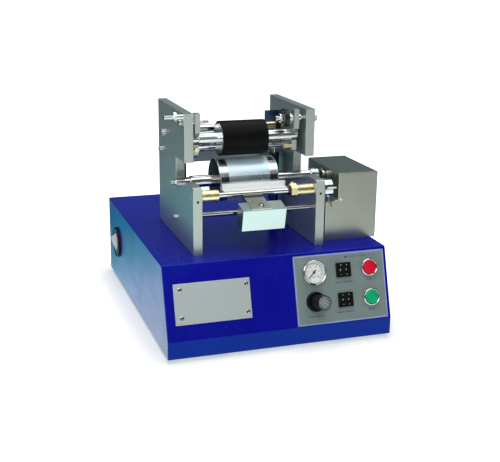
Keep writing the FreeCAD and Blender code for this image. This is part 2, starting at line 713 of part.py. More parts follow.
def radial_block(x, low_deg, high_deg, inner, outer):
    """A piece of a ring round the cylinder; degrees count up from the front horizontal."""
    points = []
    for radius, degrees in ((inner, low_deg), (inner, high_deg), (outer, high_deg), (outer, low_deg)):
        turn = math.radians(degrees)
        points.append(V(x[0], CYLINDER.y - radius * math.cos(turn), CYLINDER.z + radius * math.sin(turn)))
    middle = math.radians((low_deg + high_deg) / 2)
    crown = V(x[0], CYLINDER.y - outer * math.cos(middle), CYLINDER.z + outer * math.sin(middle))
    floor = V(x[0], CYLINDER.y - inner * math.cos(middle), CYLINDER.z + inner * math.sin(middle))
    outline = Part.Wire([Part.Arc(points[0], floor, points[1]).toShape(),
                         Part.LineSegment(points[1], points[2]).toShape(),
                         Part.Arc(points[2], crown, points[3]).toShape(),
                         Part.LineSegment(points[3], points[0]).toShape()])
    return Part.Face(outline).extrude(V(x[1] - x[0], 0, 0))


GROOVE_DEG = (7, 20)
REAR_CLAMP_DEG = (62, 78)
CLAMP_PLACES = (((-73.0, -60.0), GROOVE_DEG), ((15.0, 28.0), GROOVE_DEG), ((-72.0, -63.0), REAR_CLAMP_DEG),
                ((17.0, 26.0), REAR_CLAMP_DEG))


def plate_cylinder():
    drum = rod_x(CYLINDER_R, CYLINDER_X, CYLINDER)
    pockets = [radial_block(x, *turn, CYLINDER_R - 3, CYLINDER_R + 1) for x, turn in CLAMP_PLACES]
    groove = radial_block((-60.0, 15.0), *GROOVE_DEG, CYLINDER_R - 1.2, CYLINDER_R + 1)
    return cut(drum, rod_x(CYLINDER_SHAFT_R, CYLINDER_X, CYLINDER), groove, *pockets)


def engraved_plate():
    """Thin printing plate, wrapped from one side of the clamp groove round to the other."""
    start, end = GROOVE_DEG[1] + 0.5, 360 + GROOVE_DEG[0] - 0.5
    return radial_block((-59.5, 14.5), start, end, CYLINDER_R, CYLINDER_R + ENGRAVED_T)


def plate_clamps():
    clamps = [radial_block(x, turn[0], turn[1], CYLINDER_R - 3, CYLINDER_R + ENGRAVED_T)
              for x, turn in CLAMP_PLACES]
    return Part.makeCompound(clamps)


def cylinder_shaft():
    """Shaft with a shoulder inside the left plate and a small journal outside it."""
    return fuse(rod_x(CYLINDER_SHAFT_R, (-145, 103), CYLINDER), rod_x(4.0, (-154, -145), CYLINDER),
                rod_x(SHOULDER_R, (LEFT_INNER + 1, CYLINDER_X[0]), CYLINDER))


def drive_shaft():
    """Coupling hub, shaft and toothed pulley that turn the cylinder."""
    hub = rod_x(10.5, (103, 124), CYLINDER)
    groove = tube_x(12, 9.5, (111, 114), CYLINDER)
    shaft = rod_x(DRIVE_SHAFT_R, (123, 192), CYLINDER)
    pulley = rod_x(SHAFT_PULLEY_R, BELT_X, CYLINDER)
    return fuse(hub.cut(groove), shaft, pulley)


def drive_bracket():
    plate = box(BRACKET_PLATE_X, (122, 192), (CABINET_H, 268))
    foot = box((BRACKET_PLATE_X[0], BRACKET_PLATE_X[1] + 30), (122, 192), (CABINET_H, CABINET_H + 5))
    wide = (BRACKET_PLATE_X[0] - 1, BRACKET_PLATE_X[1] + 1)
    return cut(fuse(plate, foot), rod_x(DRIVE_SHAFT_R + 0.05, wide, CYLINDER), rod_x(5.0, wide, MOTOR))


def drive_motor():
    body = rod_x(MOTOR_R, (113, BRACKET_PLATE_X[0]), MOTOR)
    return body.cut(rod_x(4.05, (BRACKET_PLATE_X[0] - 20, BRACKET_PLATE_X[0] + 1), MOTOR))


def motor_pulley():
    shaft = rod_x(4.0, (BRACKET_PLATE_X[0] - 15, BELT_X[1] + 2), MOTOR)
    return fuse(shaft, rod_x(MOTOR_PULLEY_R, BELT_X, MOTOR))


def drive_belt():
    """Closed belt round both pulleys, standing just clear of them."""
    def loop(extra):
        pulleys = ((SHAFT_PULLEY_R, CYLINDER), (MOTOR_PULLEY_R, MOTOR))
        ends = [rod_x(radius + extra, BELT_X, place) for radius, place in pulleys]
        span = CYLINDER.z - MOTOR.z
        lean = math.asin((MOTOR_PULLEY_R - SHAFT_PULLEY_R) / span)
        points = []
        for centre, radius in ((MOTOR, MOTOR_PULLEY_R + extra), (CYLINDER, SHAFT_PULLEY_R + extra)):
            dy, dz = radius * math.cos(lean), radius * math.sin(lean)
            points.append(((centre.y - dy, centre.z + dz), (centre.y + dy, centre.z + dz)))
        (low_left, low_right), (high_left, high_right) = points
        return fuse(prism_x([low_left, high_left, high_right, low_right], BELT_X), *ends)
    return loop(BELT_CLEARANCE + BELT_T).cut(loop(BELT_CLEARANCE))


def housing_outline(inset):
    left, right = HOUSING_X[0] + inset, HOUSING_X[1] - inset
    floor = HOUSING_Z[0] - (1 if inset else 0)
    step_x, step_z = STEP_X + inset, STEP_Z - inset
    return [(left, floor), (right, floor), (right, HOUSING_Z[1] - inset), (step_x, HOUSING_Z[1] - inset),
            (step_x, step_z), (left, step_z)]


def housing_cover():
    outer = prism_y(housing_outline(0), HOUSING_Y)
    inner_corner = [e for e in outer.Edges if abs(e.CenterOfMass.x - STEP_X) < 0.1
                    and abs(e.CenterOfMass.z - STEP_Z) < 0.1]
    outer = outer.makeFillet(STEP_R, inner_corner)
    seams = [e for e in outer.Edges if e.CenterOfMass.z > HOUSING_Z[0] + 0.1 and e.Length > 20]
    outer = outer.makeFillet(HOUSING_SHEET, seams)
    inset = HOUSING_SHEET
    hollow = prism_y(housing_outline(inset), (HOUSING_Y[0] + inset, HOUSING_Y[1] - inset))
    return cut(outer, hollow, rod_x(8.0, (STEP_X - 2, STEP_X + 4), CYLINDER))


def housing_screw():
    head = rod_y(3.6, (HOUSING_Y[0] - 2.4, HOUSING_Y[0]), STEP_X + 5, STEP_Z + 3)
    return head.makeFillet(1.2, [e for e in head.Edges if e.CenterOfMass.y < HOUSING_Y[0] - 2.3])


# ---- blade and weight

def blade_shaft():
    return rod_x(BLADE_SHAFT_R, (LEFT_BUSH_END + 0.5, HUB_END + 1.5), BLADE_SHAFT)


def blade_collar():
    nut = hex_x(21, (38.5, 49.6), BLADE_SHAFT)
    screw = rod_z(2.6, (BLADE_SHAFT.z + 8, BLADE_SHAFT.z + 14.5), 44, BLADE_SHAFT.y + 3)
    return fuse(nut, screw).cut(rod_x(BLADE_SHAFT_R, (30, 60), BLADE_SHAFT))


def blade_holder():
    bar = box((-78.5, 34.5), (100, 106), (249, 262))
    web = box((-78.5, 34.5), (BLADE_SHAFT.y, 100), (249, 253.4))
    return fuse(bar, web).cut(rod_x(BLADE_SHAFT_R, (-90, 50), BLADE_SHAFT))


def doctor_blade():
    return prism_x([(100, 249), (106, 249), (121.3, 240.5), (120.9, 239.7), (100, 246.6)], (-58, 13))


def weight_bracket():
    plate = box(BRACKET_X, (1, 58), (0, 2))
    clamp = box(BRACKET_X, (44, 58), (-5, 0))
    shaft = rod_x(BLADE_SHAFT_R, (-90, 50), BLADE_SHAFT)
    return tilted(fuse(plate, clamp)).cut(shaft)


def weight_block():
    block = box(WEIGHT_X, (0, WEIGHT_D), (-WEIGHT_H, 0))
    return tilted(block.makeChamfer(0.6, block.Edges))


def throw_off_lever():
    hub = tube_x(HUB_R, BLADE_SHAFT_R, (RIGHT_OUTER + 0.4, HUB_END), BLADE_SHAFT)
    top, tip = V(108, 83.5, 234), V(112.5, 77, 216)
    lever = Part.makeCylinder(1.8, (tip - top).Length, top, tip - top)
    pin = rod_x(1.7, (102, 118.5), V(0, BLADE_SHAFT.y - HUB_R + 0.4, BLADE_SHAFT.z + 3))
    return fuse(hub, lever, pin)


SINGLE_PARTS = (
    base_cabinet, rear_panel, bottom_plate, rubber_feet, drive_controller, blank_cover_plate, panel_screws,
    control_panel_plate, gauge_case, gauge_dial, gauge_needle, gauge_lens, regulator_body, regulator_knob,
    selector_housings, button_bezels, isolator_plate, isolator_handle, mains_inlet, air_inlet_fitting,
    left_side_plate, right_side_plate, tie_rods, rear_stay_plate, frame_screws, blade_shaft_bushes,
    air_cylinders, piston_rods, left_arm, right_arm, carriage_rods, carriage_brasses, bracket_plate,
    stop_bolts, adjusting_wheel, impression_roller_core, rubber_cover, plate_cylinder, engraved_plate,
    plate_clamps, cylinder_shaft, drive_shaft, drive_bracket, drive_motor, motor_pulley, drive_belt,
    housing_cover, blade_shaft, blade_collar, blade_holder, doctor_blade, weight_bracket,
    weight_block, throw_off_lever)


def all_parts():
    parts = {build.__name__: build() for build in SINGLE_PARTS}
    parts["stop_button_cap"] = button_cap(STOP_S)
    parts["start_button_cap"] = button_cap(START_S)
    for row, s in zip(("upper", "lower"), SELECTOR_ROWS):
        for side, place in ((-1, "left"), (1, "right")):
            parts[f"digit_wheel_{row}_{place}"] = digit_wheel(side, s)
    return parts


def main():
    os.makedirs("parts", exist_ok=True)
    for name, shape in all_parts().items():
        shape.translate(ORIGIN_SHIFT)
        shape.exportStep(f"parts/{name}.step")
        bounds = shape.BoundBox
        print(f"{name:26s} {len(shape.Solids)} solids, valid {shape.isValid()}, "
              f"x {bounds.XMin:.1f} {bounds.XMax:.1f} y {bounds.YMin:.1f} {bounds.YMax:.1f} "
              f"z {bounds.ZMin:.1f} {bounds.ZMax:.1f}")


main()
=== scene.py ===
import bmesh
import bpy
import json
import math
from mathutils import Matrix, Vector


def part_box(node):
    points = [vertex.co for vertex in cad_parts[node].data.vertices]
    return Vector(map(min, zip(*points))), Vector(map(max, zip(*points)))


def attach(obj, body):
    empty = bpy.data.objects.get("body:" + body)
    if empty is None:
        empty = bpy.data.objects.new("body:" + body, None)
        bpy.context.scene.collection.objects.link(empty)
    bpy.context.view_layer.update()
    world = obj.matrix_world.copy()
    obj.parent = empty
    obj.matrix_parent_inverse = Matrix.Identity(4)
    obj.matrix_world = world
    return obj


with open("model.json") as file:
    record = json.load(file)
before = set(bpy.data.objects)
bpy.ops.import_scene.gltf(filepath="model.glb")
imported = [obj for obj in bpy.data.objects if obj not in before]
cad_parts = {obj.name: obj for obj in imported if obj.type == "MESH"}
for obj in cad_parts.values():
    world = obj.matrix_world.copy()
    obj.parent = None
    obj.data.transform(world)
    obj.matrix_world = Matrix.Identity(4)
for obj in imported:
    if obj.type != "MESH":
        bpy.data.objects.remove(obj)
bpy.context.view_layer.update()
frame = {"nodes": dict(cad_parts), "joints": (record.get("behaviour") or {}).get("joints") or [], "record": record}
nodes = frame["nodes"]
joints = {joint["name"]: joint for joint in frame["joints"]}

MM = 0.001
X_AXIS = Vector((1, 0, 0))
Y_AXIS = Vector((0, 1, 0))
Z_AXIS = Vector((0, 0, 1))
CAMERA_PLACE = Vector((-0.5241, -1.6131, 0.6352))
CAMERA_YAW = math.radians(18.75)
CAMERA_PITCH = math.radians(16.27)
CAMERA_ROLL = math.radians(0.68)
CAMERA_LENS = 67.1
FLOOR_HALF = 14.0
FOOTPRINT_HALF = (0.20, 0.2525)
# (position along Y, colour) stops of what mirror-like surfaces see of the floor and of the sky
FLOOR_SHADES = [(0.0, (1.35, 1.42, 1.34)), (0.27, (1.35, 1.5, 1.48)), (0.37, (0.9, 1.25, 1.4)),
                (0.45, (0.26, 0.80, 0.84)), (0.53, (0.04, 0.48, 0.50)), (0.67, (0.15, 0.24, 0.26)),
                (1.0, (0.11, 0.14, 0.15))]
SKY_SHADES = [(0.0, (0.07, 0.08, 0.08)), (0.5, (0.03, 0.034, 0.038)), (1.0, (0.095, 0.15, 0.17))]


# ---- camera, floor and light

def make_camera():
    """Camera looking forward and down, with a slight roll."""
    forward = Vector((math.sin(CAMERA_YAW) * math.cos(CAMERA_PITCH),
                      math.cos(CAMERA_YAW) * math.cos(CAMERA_PITCH), -math.sin(CAMERA_PITCH)))
    right = Vector((math.cos(CAMERA_YAW), -math.sin(CAMERA_YAW), 0))
    up = right.cross(forward)
    turn = Matrix.Rotation(CAMERA_ROLL, 3, -forward)
    right, up = turn @ right, turn @ up
    data = bpy.data.cameras.new("camera")
    data.lens = CAMERA_LENS
    camera = bpy.data.objects.new("camera", data)
    bpy.context.scene.collection.objects.link(camera)
    axes = Matrix((right, up, -forward)).transposed().to_4x4()
    camera.matrix_world = Matrix.Translation(CAMERA_PLACE) @ axes
    bpy.context.scene.camera = camera


def colour_stops(tree, value, stops):
    """Colour ramp over value with any number of (position, colour) stops."""
    node = tree.nodes.new("ShaderNodeValToRGB")
    marks = node.color_ramp.elements
    while len(marks) < len(stops):
        marks.new(0.5)
    for mark, (position, colour) in zip(marks, stops):
        mark.position = position
        mark.color = (*colour, 1)
    tree.links.new(value, node.inputs["Fac"])
    return node.outputs["Color"]


def along(tree, vector, axis, start, end):
    """0 to 1 as the vector's component goes from start to end."""
    split = tree.nodes.new("ShaderNodeSeparateXYZ")
    tree.links.new(vector, split.inputs["Vector"])
    node = tree.nodes.new("ShaderNodeMapRange")
    node.inputs["From Min"].default_value = start
    node.inputs["From Max"].default_value = end
    tree.links.new(split.outputs[axis], node.inputs["Value"])
    return node.outputs["Result"]


def mix_shaders(tree, factor, first, second):
    node = tree.nodes.new("ShaderNodeMixShader")
    tree.links.new(factor, node.inputs["Fac"])
    tree.links.new(first, node.inputs[1])
    tree.links.new(second, node.inputs[2])
    return node.outputs["Shader"]


def make_floor():
    """Plain pale floor. Mirror-like surfaces see FLOOR_SHADES instead, dimmer towards the right."""
    size = FLOOR_HALF
    mesh = bpy.data.meshes.new("floor")
    corners = [(-size, -size, 0), (size, -size, 0), (size, size, 0), (-size, size, 0)]
    mesh.from_pydata(corners, [], [(0, 1, 2, 3)])
    floor = bpy.data.objects.new("floor", mesh)
    bpy.context.scene.collection.objects.link(floor)
    paint = Paint("floor_white")
    tree = paint.tree
    paint.set(Roughness=0.9, Specular_IOR_Level=0.05, Emission_Color=(1, 1, 1, 1))
    pale = paint.ramp(paint.noise(scale=3, detail=2), (0.84, 0.84, 0.84), (0.88, 0.88, 0.88))
    paint.link(pale, "Base Color")
    glow = paint.span(paint.outside(*FOOTPRINT_HALF), 0.22, 0.95, 0.0, 0.16)
    paint.link(glow, "Emission Strength")
    ray = tree.nodes.new("ShaderNodeLightPath")
    mirrored = tree.nodes.new("ShaderNodeEmission")
    shade = colour_stops(tree, along(tree, paint.place, "Y", -1.0, 2.0), FLOOR_SHADES)
    tree.links.new(shade, mirrored.inputs["Color"])
    tree.links.new(paint.side_fall(0.22, 0.52, 0.5), mirrored.inputs["Strength"])
    plain = tree.nodes.new("ShaderNodeBsdfDiffuse")
    tree.links.new(paint.noise(scale=3, detail=2), plain.inputs["Roughness"])
    seen = mix_shaders(tree, ray.outputs["Is Camera Ray"], plain.outputs["BSDF"],
                       paint.shader.outputs["BSDF"])
    surface = mix_shaders(tree, ray.outputs["Is Glossy Ray"], seen, mirrored.outputs["Emission"])
    tree.links.new(surface, tree.nodes["Material Output"].inputs["Surface"])
    mesh.materials.append(paint.material)


def area_light(name, place, target, size, power, tint=(1, 1, 1)):
    data = bpy.data.lights.new(name, "AREA")
    data.shape = "RECTANGLE"
    data.size, data.size_y = size
    data.energy = power
    data.color = tint
    light = bpy.data.objects.new(name, data)
    light.location = place
    light.rotation_euler = (Vector(target) - Vector(place)).to_track_quat("-Z", "Y").to_euler()
    bpy.context.scene.collection.objects.link(light)


def make_light():
    """Soft boxes overhead, in front and at the left; white for the camera, a dim room for the rest."""
    target = (0, 0, 0.2)
    area_light("top_box", (0.0, -0.1, 1.9), target, (2.0, 2.6), 30)
    area_light("front_box", (-0.6, -2.6, 1.9), target, (1.6, 0.9), 24, (1.0, 1.0, 0.96))
    area_light("left_box", (-2.2, -0.6, 1.0), target, (1.0, 1.0), 3.5, (0.72, 0.95, 1.0))
    world = bpy.data.worlds.new("studio")
    bpy.context.scene.world = world
    world.use_nodes = True
    tree = world.node_tree
    tree.nodes.clear()
    ray = tree.nodes.new("ShaderNodeLightPath")

    def backdrop(shade):
        node = tree.nodes.new("ShaderNodeBackground")
        node.inputs["Color"].default_value = (*shade, 1)
        return node

    sky = backdrop((0, 0, 0))
    direction = tree.nodes.new("ShaderNodeTexCoord").outputs["Generated"]
    shade = colour_stops(tree, along(tree, direction, "Y", -1.0, 1.0), SKY_SHADES)
    tree.links.new(shade, sky.inputs["Color"])
    room = backdrop((0.30, 0.32, 0.34))
    indirect = mix_shaders(tree, ray.outputs["Is Glossy Ray"], room.outputs["Background"],
                           sky.outputs["Background"])
    white = backdrop((1, 1, 1))
    surface = mix_shaders(tree, ray.outputs["Is Camera Ray"], indirect, white.outputs["Background"])
    output = tree.nodes.new("ShaderNodeOutputWorld")
    tree.links.new(surface, output.inputs["Surface"])
    bpy.context.scene.view_settings.view_transform = "Standard"


# ---- materials

class Paint:
    """A Principled material with short calls for the node work that the finishes share."""

    def __init__(self, name):
        self.material = bpy.data.materials.new(name)
        self.material.use_nodes = True
        self.tree = self.material.node_tree
        self.shader = self.tree.nodes["Principled BSDF"]
        self.place = self.tree.nodes.new("ShaderNodeTexCoord").outputs["Object"]

    def set(self, **values):
        for name, value in values.items():
            self.shader.inputs[name.replace("_", " ")].default_value = value

    def link(self, output, name):
        self.tree.links.new(output, self.shader.inputs[name])

    def stretched(self, stretch):
        """Object coordinates scaled by stretch along X, Y and Z."""
        node = self.tree.nodes.new("ShaderNodeMapping")
        node.inputs["Scale"].default_value = stretch
        self.tree.links.new(self.place, node.inputs["Vector"])
        return node.outputs["Vector"]

    def noise(self, scale, detail=3, stretch=(1, 1, 1), roughness=0.5):
        node = self.tree.nodes.new("ShaderNodeTexNoise")
        node.inputs["Scale"].default_value = scale
        node.inputs["Detail"].default_value = detail
        node.inputs["Roughness"].default_value = roughness
        self.tree.links.new(self.stretched(stretch), node.inputs["Vector"])
        return node.outputs["Fac"]

    def cells(self, scale, stretch=(1, 1, 1)):
        node = self.tree.nodes.new("ShaderNodeTexVoronoi")
        node.inputs["Scale"].default_value = scale
        self.tree.links.new(self.stretched(stretch), node.inputs["Vector"])
        return node.outputs["Distance"]

    def ramp(self, value, low, high, start=0.3, end=0.7):
        """Colours from low to high as value goes from start to end."""
        node = self.tree.nodes.new("ShaderNodeValToRGB")
        node.color_ramp.elements[0].position = start
        node.color_ramp.elements[1].position = end
        node.color_ramp.elements[0].color = (*low, 1)
        node.color_ramp.elements[1].color = (*high, 1)
        self.tree.links.new(value, node.inputs["Fac"])
        return node.outputs["Color"]

    def span(self, value, low, high, start=0.3, end=0.7):
        """A number from low to high as value goes from start to end."""
        node = self.tree.nodes.new("ShaderNodeMapRange")
        node.inputs["From Min"].default_value = start
        node.inputs["From Max"].default_value = end
        node.inputs["To Min"].default_value = low
        node.inputs["To Max"].default_value = high
        self.tree.links.new(value, node.inputs["Value"])
        return node.outputs["Result"]

    def blend(self, factor, first, second):
        """Mix of two colours by factor."""
        node = self.tree.nodes.new("ShaderNodeMix")
        node.data_type = "RGBA"
        for output, name in ((factor, "Factor"), (first, "A"), (second, "B")):
            sockets = [s for s in node.inputs if s.name == name and s.enabled]
            self.tree.links.new(output, sockets[-1])
        return [s for s in node.outputs if s.enabled][0]

    def outside(self, half_x, half_y):
        """Distance outwards from a rectangle on the floor."""
        out = self.place
        steps = (("ABSOLUTE", None), ("SUBTRACT", (half_x, half_y, 0)),
                 ("MAXIMUM", (0, 0, 0)), ("LENGTH", None))
        for operation, amount in steps:
            node = self.tree.nodes.new("ShaderNodeVectorMath")
            node.operation = operation
            self.tree.links.new(out, node.inputs[0])
            if amount:
                node.inputs[1].default_value = amount
            out = node.outputs["Value" if operation == "LENGTH" else "Vector"]
        return out

    def side_fall(self, start, end, low):
        """1 at the left of start metres along X, falling to low at end."""
        split = self.tree.nodes.new("ShaderNodeSeparateXYZ")
        self.tree.links.new(self.place, split.inputs["Vector"])
        return self.span(split.outputs["X"], 1.0, low, start, end)

    def end_faces(self):
        """1 on faces that look along the X axis, 0 on all others."""
        facing = self.tree.nodes.new("ShaderNodeNewGeometry").outputs["Normal"]
        split = self.tree.nodes.new("ShaderNodeSeparateXYZ")
        size = self.tree.nodes.new("ShaderNodeMath")
        size.operation = "ABSOLUTE"
        self.tree.links.new(facing, split.inputs["Vector"])
        self.tree.links.new(split.outputs["X"], size.inputs[0])
        return self.span(size.outputs["Value"], 0.0, 1.0, 0.90, 0.99)

    def bump(self, value, strength, depth=MM):
        node = self.tree.nodes.new("ShaderNodeBump")
        node.inputs["Strength"].default_value = strength
        node.inputs["Distance"].default_value = depth
        self.tree.links.new(value, node.inputs["Height"])
        previous = self.shader.inputs["Normal"].links
        if previous:
            self.tree.links.new(previous[0].from_socket, node.inputs["Normal"])
        self.tree.links.new(node.outputs["Normal"], self.shader.inputs["Normal"])


def tinted(colour, factor):
    return [channel * factor for channel in colour]


def enamel():
    """Sprayed blue enamel: faint orange peel, a little dust and handling haze."""
    paint = Paint("blue_enamel")
    cloud = paint.noise(scale=5, detail=3)
    dust = paint.noise(scale=1100, detail=1)
    smear = paint.noise(scale=30, detail=5, stretch=(1, 0.4, 1))
    blue = paint.ramp(cloud, (0.0055, 0.0016, 0.27), (0.0065, 0.0026, 0.31))
    speck = paint.span(dust, 0.0, 0.05, 0.74, 0.82)
    tone = paint.blend(speck, blue, paint.ramp(cloud, (0.02, 0.03, 0.33), (0.025, 0.04, 0.36)))
    paint.link(tone, "Base Color")
    paint.link(paint.span(smear, 0.20, 0.29), "Roughness")
    paint.set(IOR=1.5, Specular_Tint=(0.05, 0.55, 0.9, 1))
    paint.bump(paint.noise(scale=380, detail=2), 0.04, 0.3 * MM)
    return paint.material


def brushed(name, tone, grain, roughness=0.3, contrast=0.12, metallic=1.0):
    """Metal with fine scratches; grain holds the scratches per metre along X, Y and Z."""
    paint = Paint(name)
    hair = paint.noise(scale=1, detail=5, stretch=grain, roughness=0.7)
    cloud = paint.noise(scale=7, detail=3)
    smudge = paint.noise(scale=38, detail=4)
    base = paint.blend(cloud, paint.ramp(hair, tinted(tone, 1 - contrast), tinted(tone, 1 + contrast)),
                       paint.ramp(smudge, tinted(tone, 0.94), tinted(tone, 1.03)))
    paint.link(base, "Base Color")
    paint.link(paint.span(hair, roughness - 0.05, roughness + 0.08), "Roughness")
    paint.set(Metallic=metallic)
    paint.bump(hair, 0.05, 0.15 * MM)
    return paint.material


def satin(name, tone, grain):
    """Anodised aluminium sheet: pale, soft and finely brushed."""
    paint = Paint(name)
    hair = paint.noise(scale=1, detail=5, stretch=grain, roughness=0.7)
    cloud = paint.noise(scale=9, detail=3)
    brushing = paint.ramp(hair, tinted(tone, 0.93), tinted(tone, 1.07))
    clouding = paint.ramp(cloud, tinted(tone, 0.97), tinted(tone, 1.04))
    paint.link(paint.blend(cloud, brushing, clouding), "Base Color")
    paint.link(paint.span(hair, 0.34, 0.46), "Roughness")
    paint.set(Metallic=0.35)
    paint.bump(hair, 0.05, 0.15 * MM)
    return paint.material


def polished(name, colour, roughness=0.10):
    """Plated or polished metal with hairline scratches and finger haze."""
    paint = Paint(name)
    haze = paint.noise(scale=60, detail=5)
    scratch = paint.noise(scale=1, detail=4, stretch=(240, 2400, 2400))
    paint.link(paint.ramp(haze, tinted(colour, 0.92), colour), "Base Color")
    paint.link(paint.span(haze, roughness, roughness + 0.08), "Roughness")
    paint.set(Metallic=1.0)
    paint.bump(scratch, 0.02, 0.08 * MM)
    return paint.material


def turned(name, tone, roughness=0.2, pitch=2600, shaded_end_tone=None):
    """Lathe-turned metal: fine rings round the X axis; the optional end tone is painted shade on the faces across
    it.
    """
    paint = Paint(name)
    rings = paint.noise(scale=1, detail=3, stretch=(pitch, 8, 8), roughness=0.7)
    haze = paint.noise(scale=45, detail=4)
    base = paint.ramp(rings, tinted(tone, 0.86), tinted(tone, 1.08), 0.25, 0.75)
    if shaded_end_tone:
        # Faces across the X axis take the end tone instead of the rings: painted shade.
        base = paint.blend(paint.end_faces(), base, paint.ramp(haze, shaded_end_tone, tinted(shaded_end_tone, 1.6)))
    paint.link(base, "Base Color")
    paint.link(paint.span(haze, roughness - 0.03, roughness + 0.09), "Roughness")
    paint.set(Metallic=1.0, Anisotropic=0.3)
    paint.bump(rings, 0.05, 0.1 * MM)
    return paint.material


def moulded(name, tone, roughness=0.45, grain=1100, depth=0.1, spread=0.25, shine=0.5):
    """Moulded, printed or oxide-black surface with a fine eroded texture."""
    paint = Paint(name)
    cloud = paint.noise(scale=40, detail=4)
    paint.link(paint.ramp(cloud, tinted(tone, 1 - spread), tinted(tone, 1 + spread)), "Base Color")
    paint.link(paint.span(cloud, roughness - 0.06, roughness + 0.08), "Roughness")
    paint.set(Specular_IOR_Level=shine)
    paint.bump(paint.noise(scale=grain, detail=2), depth, 0.2 * MM)
    return paint.material


def lamp_cap(name, dark, light):
    """Coloured translucent button cap with a faint inner mottling and a painted glow: the cap also emits its own
    colour faintly.
    """
    paint = Paint(name)
    cloud = paint.noise(scale=70, detail=3)
    tone = paint.ramp(cloud, dark, light)
    paint.link(tone, "Base Color")
    # Painted glow: the cap emits its own colour though it is no lamp.
    paint.link(tone, "Emission Color")
    paint.link(paint.span(cloud, 0.34, 0.46), "Roughness")
    paint.set(Emission_Strength=0.22, Specular_IOR_Level=0.25)
    paint.bump(paint.cells(900), 0.05, 0.15 * MM)
    return paint.material


def ground_rubber():
    """Ground roller rubber: faint rings, lint and a dull bloom."""
    paint = Paint("roller_rubber")
    rings = paint.noise(scale=1, detail=2, stretch=(1800, 20, 20))
    bloom = paint.noise(scale=28, detail=5)
    lint = paint.span(paint.noise(scale=900, detail=1), 0.0, 0.35, 0.74, 0.82)
    tone = paint.ramp(bloom, (0.0022, 0.0022, 0.003), (0.004, 0.004, 0.005))
    fluff = paint.ramp(bloom, (0.014, 0.014, 0.016), (0.024, 0.024, 0.027))
    paint.link(paint.blend(lint, tone, fluff), "Base Color")
    paint.link(paint.span(bloom, 0.36, 0.50), "Roughness")
    paint.set(Specular_IOR_Level=0.09)
    paint.bump(rings, 0.12, 0.12 * MM)
    paint.bump(paint.noise(scale=1500, detail=2), 0.08, 0.1 * MM)
    return paint.material


def etched_plate():
    """Bright printing plate with a field of fine engraved cells."""
    paint = Paint("engraved_plate")
    haze = paint.noise(scale=22, detail=4, stretch=(1, 2, 2))
    paint.link(paint.ramp(haze, (0.58, 0.76, 0.88), (0.72, 0.86, 0.95)), "Base Color")
    paint.link(paint.span(haze, 0.30, 0.42), "Roughness")
    paint.set(Metallic=0.55)
    paint.bump(paint.cells(1600), 0.05, 0.04 * MM)
    return paint.material


def clear_lens():
    """Nearly clear gauge glass with a little haze."""
    paint = Paint("clear_lens")
    haze = paint.noise(scale=90, detail=3)
    paint.link(paint.ramp(haze, (0.92, 0.94, 0.95), (0.98, 0.99, 1.0)), "Base Color")
    paint.link(paint.span(haze, 0.02, 0.06), "Roughness")
    paint.set(Alpha=0.05)
    return paint.material


FINISHES = {
    "blue_paint": enamel(),
    "zinc_sheet": brushed("zinc_sheet", (0.46, 0.48, 0.50), (60, 1500, 1500), 0.42),
    "stainless": brushed("brushed_stainless", (0.40, 0.41, 0.365), (40, 2400, 2400), 0.27, metallic=0.9),
    "frame_plate": brushed("ground_plate", (0.47, 0.51, 0.49), (2000, 2000, 50), 0.36, metallic=0.8),
    "panel_grey": moulded("panel_film", (0.19, 0.245, 0.235), 0.42, 1300, 0.04, 0.06),
    "chrome": polished("chrome", (0.74, 0.75, 0.73)),
    "ground_steel": turned("ground_steel", (0.74, 0.77, 0.77)),
    "brass": turned("brass", (0.78, 0.70, 0.42), 0.24, 1800),
    "rubber_black": ground_rubber(),
    "black_plastic": moulded("black_plastic", (0.0035, 0.0036, 0.004), 0.38, shine=0.2),
    "black_metal": moulded("black_oxide", (0.009, 0.010, 0.012), 0.32, 900, 0.05),
    "white_plastic": moulded("white_plastic", (0.72, 0.74, 0.75), 0.3, 800, 0.05, 0.05),
    "red_plastic": lamp_cap("red_cap", (0.46, 0.0, 0.010), (0.62, 0.0, 0.022)),
    "green_plastic": lamp_cap("green_cap", (0.0, 0.25, 0.10), (0.0, 0.36, 0.15)),
    "dial_white": moulded("dial_card", (0.88, 0.89, 0.87), 0.5, 900, 0.03, 0.04),
    "clear_lens": clear_lens(),
    "motor_grey": brushed("motor_grey", (0.34, 0.35, 0.37), (50, 1200, 1200), 0.42),
    "belt_rubber": moulded("belt_rubber", (0.014, 0.014, 0.014), 0.6),
}
INKS = {
    "ink_black": moulded("ink_black", (0.012, 0.012, 0.014), 0.5, 900, 0.03),
    "ink_white": moulded("ink_white", (0.78, 0.79, 0.80), 0.5, 900, 0.03, 0.05),
    "ink_violet": moulded("ink_violet", (0.045, 0.06, 0.22), 0.5, 900, 0.03, 0.1),
    "ink_lilac": moulded("ink_lilac", (0.30, 0.36, 0.70), 0.5, 900, 0.03, 0.08),
    "rim_chrome": polished("rim_chrome", (0.58, 0.58, 0.57), 0.12),
    # Dark bluish brushed steel; the bracket plate takes it.
    "dark_bluish_steel": brushed("dark_bluish_steel", (0.045, 0.085, 0.17), (40, 2000, 2000), 0.34),
}


